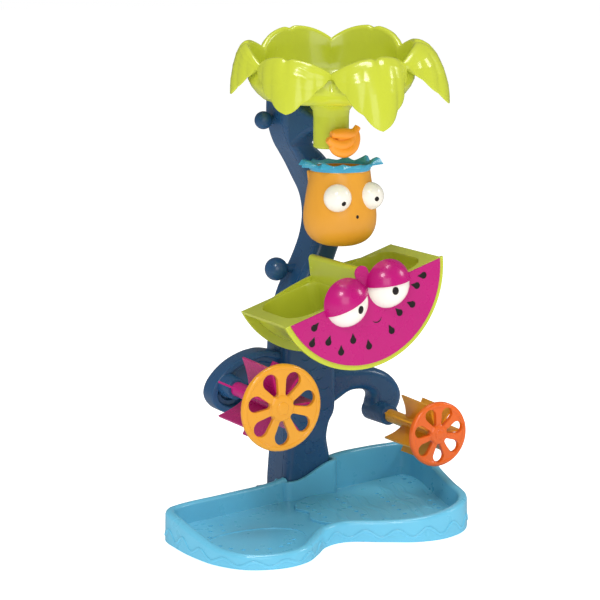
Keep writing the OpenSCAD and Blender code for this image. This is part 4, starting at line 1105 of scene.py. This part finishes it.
def collar_top(x):
    """Height of the collar's edge, low at the left and high at the right."""
    t = min(max((x + 20) / 42, 0), 1)
    return 27 + 15 * t * t * (3 - 2 * t)


def collar_wall():
    """Wall round the front of the trunk's foot, with a round top edge."""
    front = COLLAR_FRONT + COLLAR_R
    corners = [*arc_points((COLLAR_LEFT + COLLAR_R, front), COLLAR_R, 180, 270, 8),
               *arc_points((COLLAR_RIGHT - COLLAR_R, front), COLLAR_R, 270, 360, 8)]
    inner = [Vector(p) for p in [(COLLAR_LEFT, COLLAR_START), *corners, (COLLAR_RIGHT, COLLAR_END)]]
    path = [a.lerp(b, k / 6) for a, b in zip(inner, inner[1:]) for k in range(6)] + [inner[-1]]
    rings = []
    for i, here in enumerate(path):
        ahead = heading(path, i)
        out = Vector((ahead.y, -ahead.x)).normalized()
        top = collar_top(here.x)
        section = [(0, 1), *[(d, top - below) for d, below in COLLAR_EDGE], (4.5, 1)]
        rings.append([(here.x + out.x * d, here.y + out.y * d, h) for d, h in section])
    return lofted(rings)


carve(tray, [slab(inset(tray_plan, FLOOR_INSET), TRAY_FLOOR - FLOOR_T, TRAY_FLOOR),
             slab(through(BEACH, 6, closed=True), TRAY_FLOOR - 0.6, BEACH_TOP, BEACH_EDGE),
             collar_wall(), slab(PAD_PLAN, 0, PAD_TOP)])
bm = bmesh.new()
for start, end in RIPPLES:
    a, b = Vector((*start, BEACH_TOP)), Vector((*end, BEACH_TOP))
    line = [a.lerp(b, k / RIPPLE_STEPS) + RIPPLE_SWAY * math.sin(2 * math.tau * k / RIPPLE_STEPS)
            for k in range(RIPPLE_STEPS + 1)]
    bead(bm, line, [UP] * len(line), RIPPLE_HIGH, RIPPLE_WIDE, 16)
carve(tray, [solid(bm)])
print("tray with", len(RIPPLES), "ripples:", len(tray.data.polygons), "faces")

# %% Pool, room for the trunk and drain holes
POOL_DISH = [(-146, -104), (-132, -90), (-106, -85), (-78, -90), (-61, -106), (-66, -130), (-86, -148),
             (-112, -154), (-134, -142), (-145, -124)]
DISH_DEPTH, DISH_EDGE = 0.9, 0.4
FOOT_SLACK, ROOM_TOP = 1.012, 70
TRUNK_ROOM = [(-26.9, -22.4, 5), (22.9, -22.4, 5), (22.9, 40, 5), (-26.9, 40, 5)]
# Drain holes in rows: first hole, step and count
DRAIN_ROWS = [((-23, -56), (-1, -12), 4), ((11, -50), (-1.5, -13.5), 5), ((52, -50), (-2.4, -13.4), 6),
              ((100, -20), (-2, -13), 2), ((82, -92), (-3, -12), 3), ((-121, -60), (-8, -15), 3),
              ((-112, -62), (-6, -16), 2)]
POOL_ARC, POOL_ARC_R = (-104, -104), 36
DRAIN_R, DRAIN_Z, DRAIN_DEEP, DRAIN_SIDES = 2, 10, 12, 20
FOOT_BORE_Z, FOOT_BORE_DEEP = -0.4, 6
dish_plan = through(POOL_DISH, 6, closed=True)
carve(tray, [slab(dish_plan, TRAY_FLOOR - DISH_DEPTH, TRAY_FLOOR + 3, DISH_EDGE)], "DIFFERENCE")
foot_room = [(x * FOOT_SLACK, y * FOOT_SLACK) for x, y in FOOT_PLAN]
carve(tray, [slab(foot_room, FOOT_LOW, ROOM_TOP), slab(soft_outline(TRUNK_ROOM), FOOT_LOW, ROOM_TOP)],
      "DIFFERENCE")
drains = [(x + k * dx, y + k * dy) for (x, y), (dx, dy), n in DRAIN_ROWS for k in range(n)]
drains += arc_points(POOL_ARC, POOL_ARC_R, 195, 321, 7)
bm = bmesh.new()
for x, y in drains:
    post(bm, (x, y, DRAIN_Z), DRAIN_R, DRAIN_DEEP, DRAIN_SIDES)
for x, y in FOOT_SCREWS:
    post(bm, (x, y, FOOT_BORE_Z), SCREW_BORE, FOOT_BORE_DEEP, SCREW_SIDES)
carve(tray, [solid(bm)], "DIFFERENCE")
dress(tray, "sand_tray", SKY, "tower", ["base_tray"], 32)
print("drain holes:", len(drains))

# %% [markdown]
# A wavy bead runs round the tray's outer side, from behind the pool by way of the front to the far right
# corner. It follows the rim's line, and its height follows the rim's height.

# %% Wave round the tray
WAVE_FROM, WAVE_STEPS, WAVE_LONG, WAVE_SINK = 6, 24, 27, 0.2
WAVE_HIGH, WAVE_WIDE = 0.75, 1.3
# Middle and swing of the wave, as shares of the rim's height up to a limit
WAVE_MIDDLE, WAVE_SWING, WAVE_LIMIT = 0.38, 0.17, 24
outer = through(TRAY_LINE, WAVE_STEPS, closed=True)[WAVE_FROM * WAVE_STEPS:]
line, ways = [], []
gone = 0
for here, after in zip(outer, outer[1:]):
    ahead = after - here
    share = WAVE_MIDDLE + WAVE_SWING * math.sin(math.tau * gone / WAVE_LONG)
    way = Vector((ahead.y, -ahead.x, 0)).normalized()
    line.append(Vector((here.x, here.y, min(here.z, WAVE_LIMIT) * share)) - WAVE_SINK * way)
    ways.append(way)
    gone += ahead.xy.length
bm = bmesh.new()
bead(bm, line, ways, WAVE_HIGH, WAVE_WIDE)
dress(solid(bm), "tray_wave", SKY, "tower", ())
print("wave length", round(gone), "mm")

# %% [markdown]
# Last, the size of the frame and of the dressed model are printed side by side.

# %% Size and finish
visual_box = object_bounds()
for title, box in (("cad", cad_box), ("visual", visual_box)):
    print(title, [[round(c, 4) for c in p] for p in box])
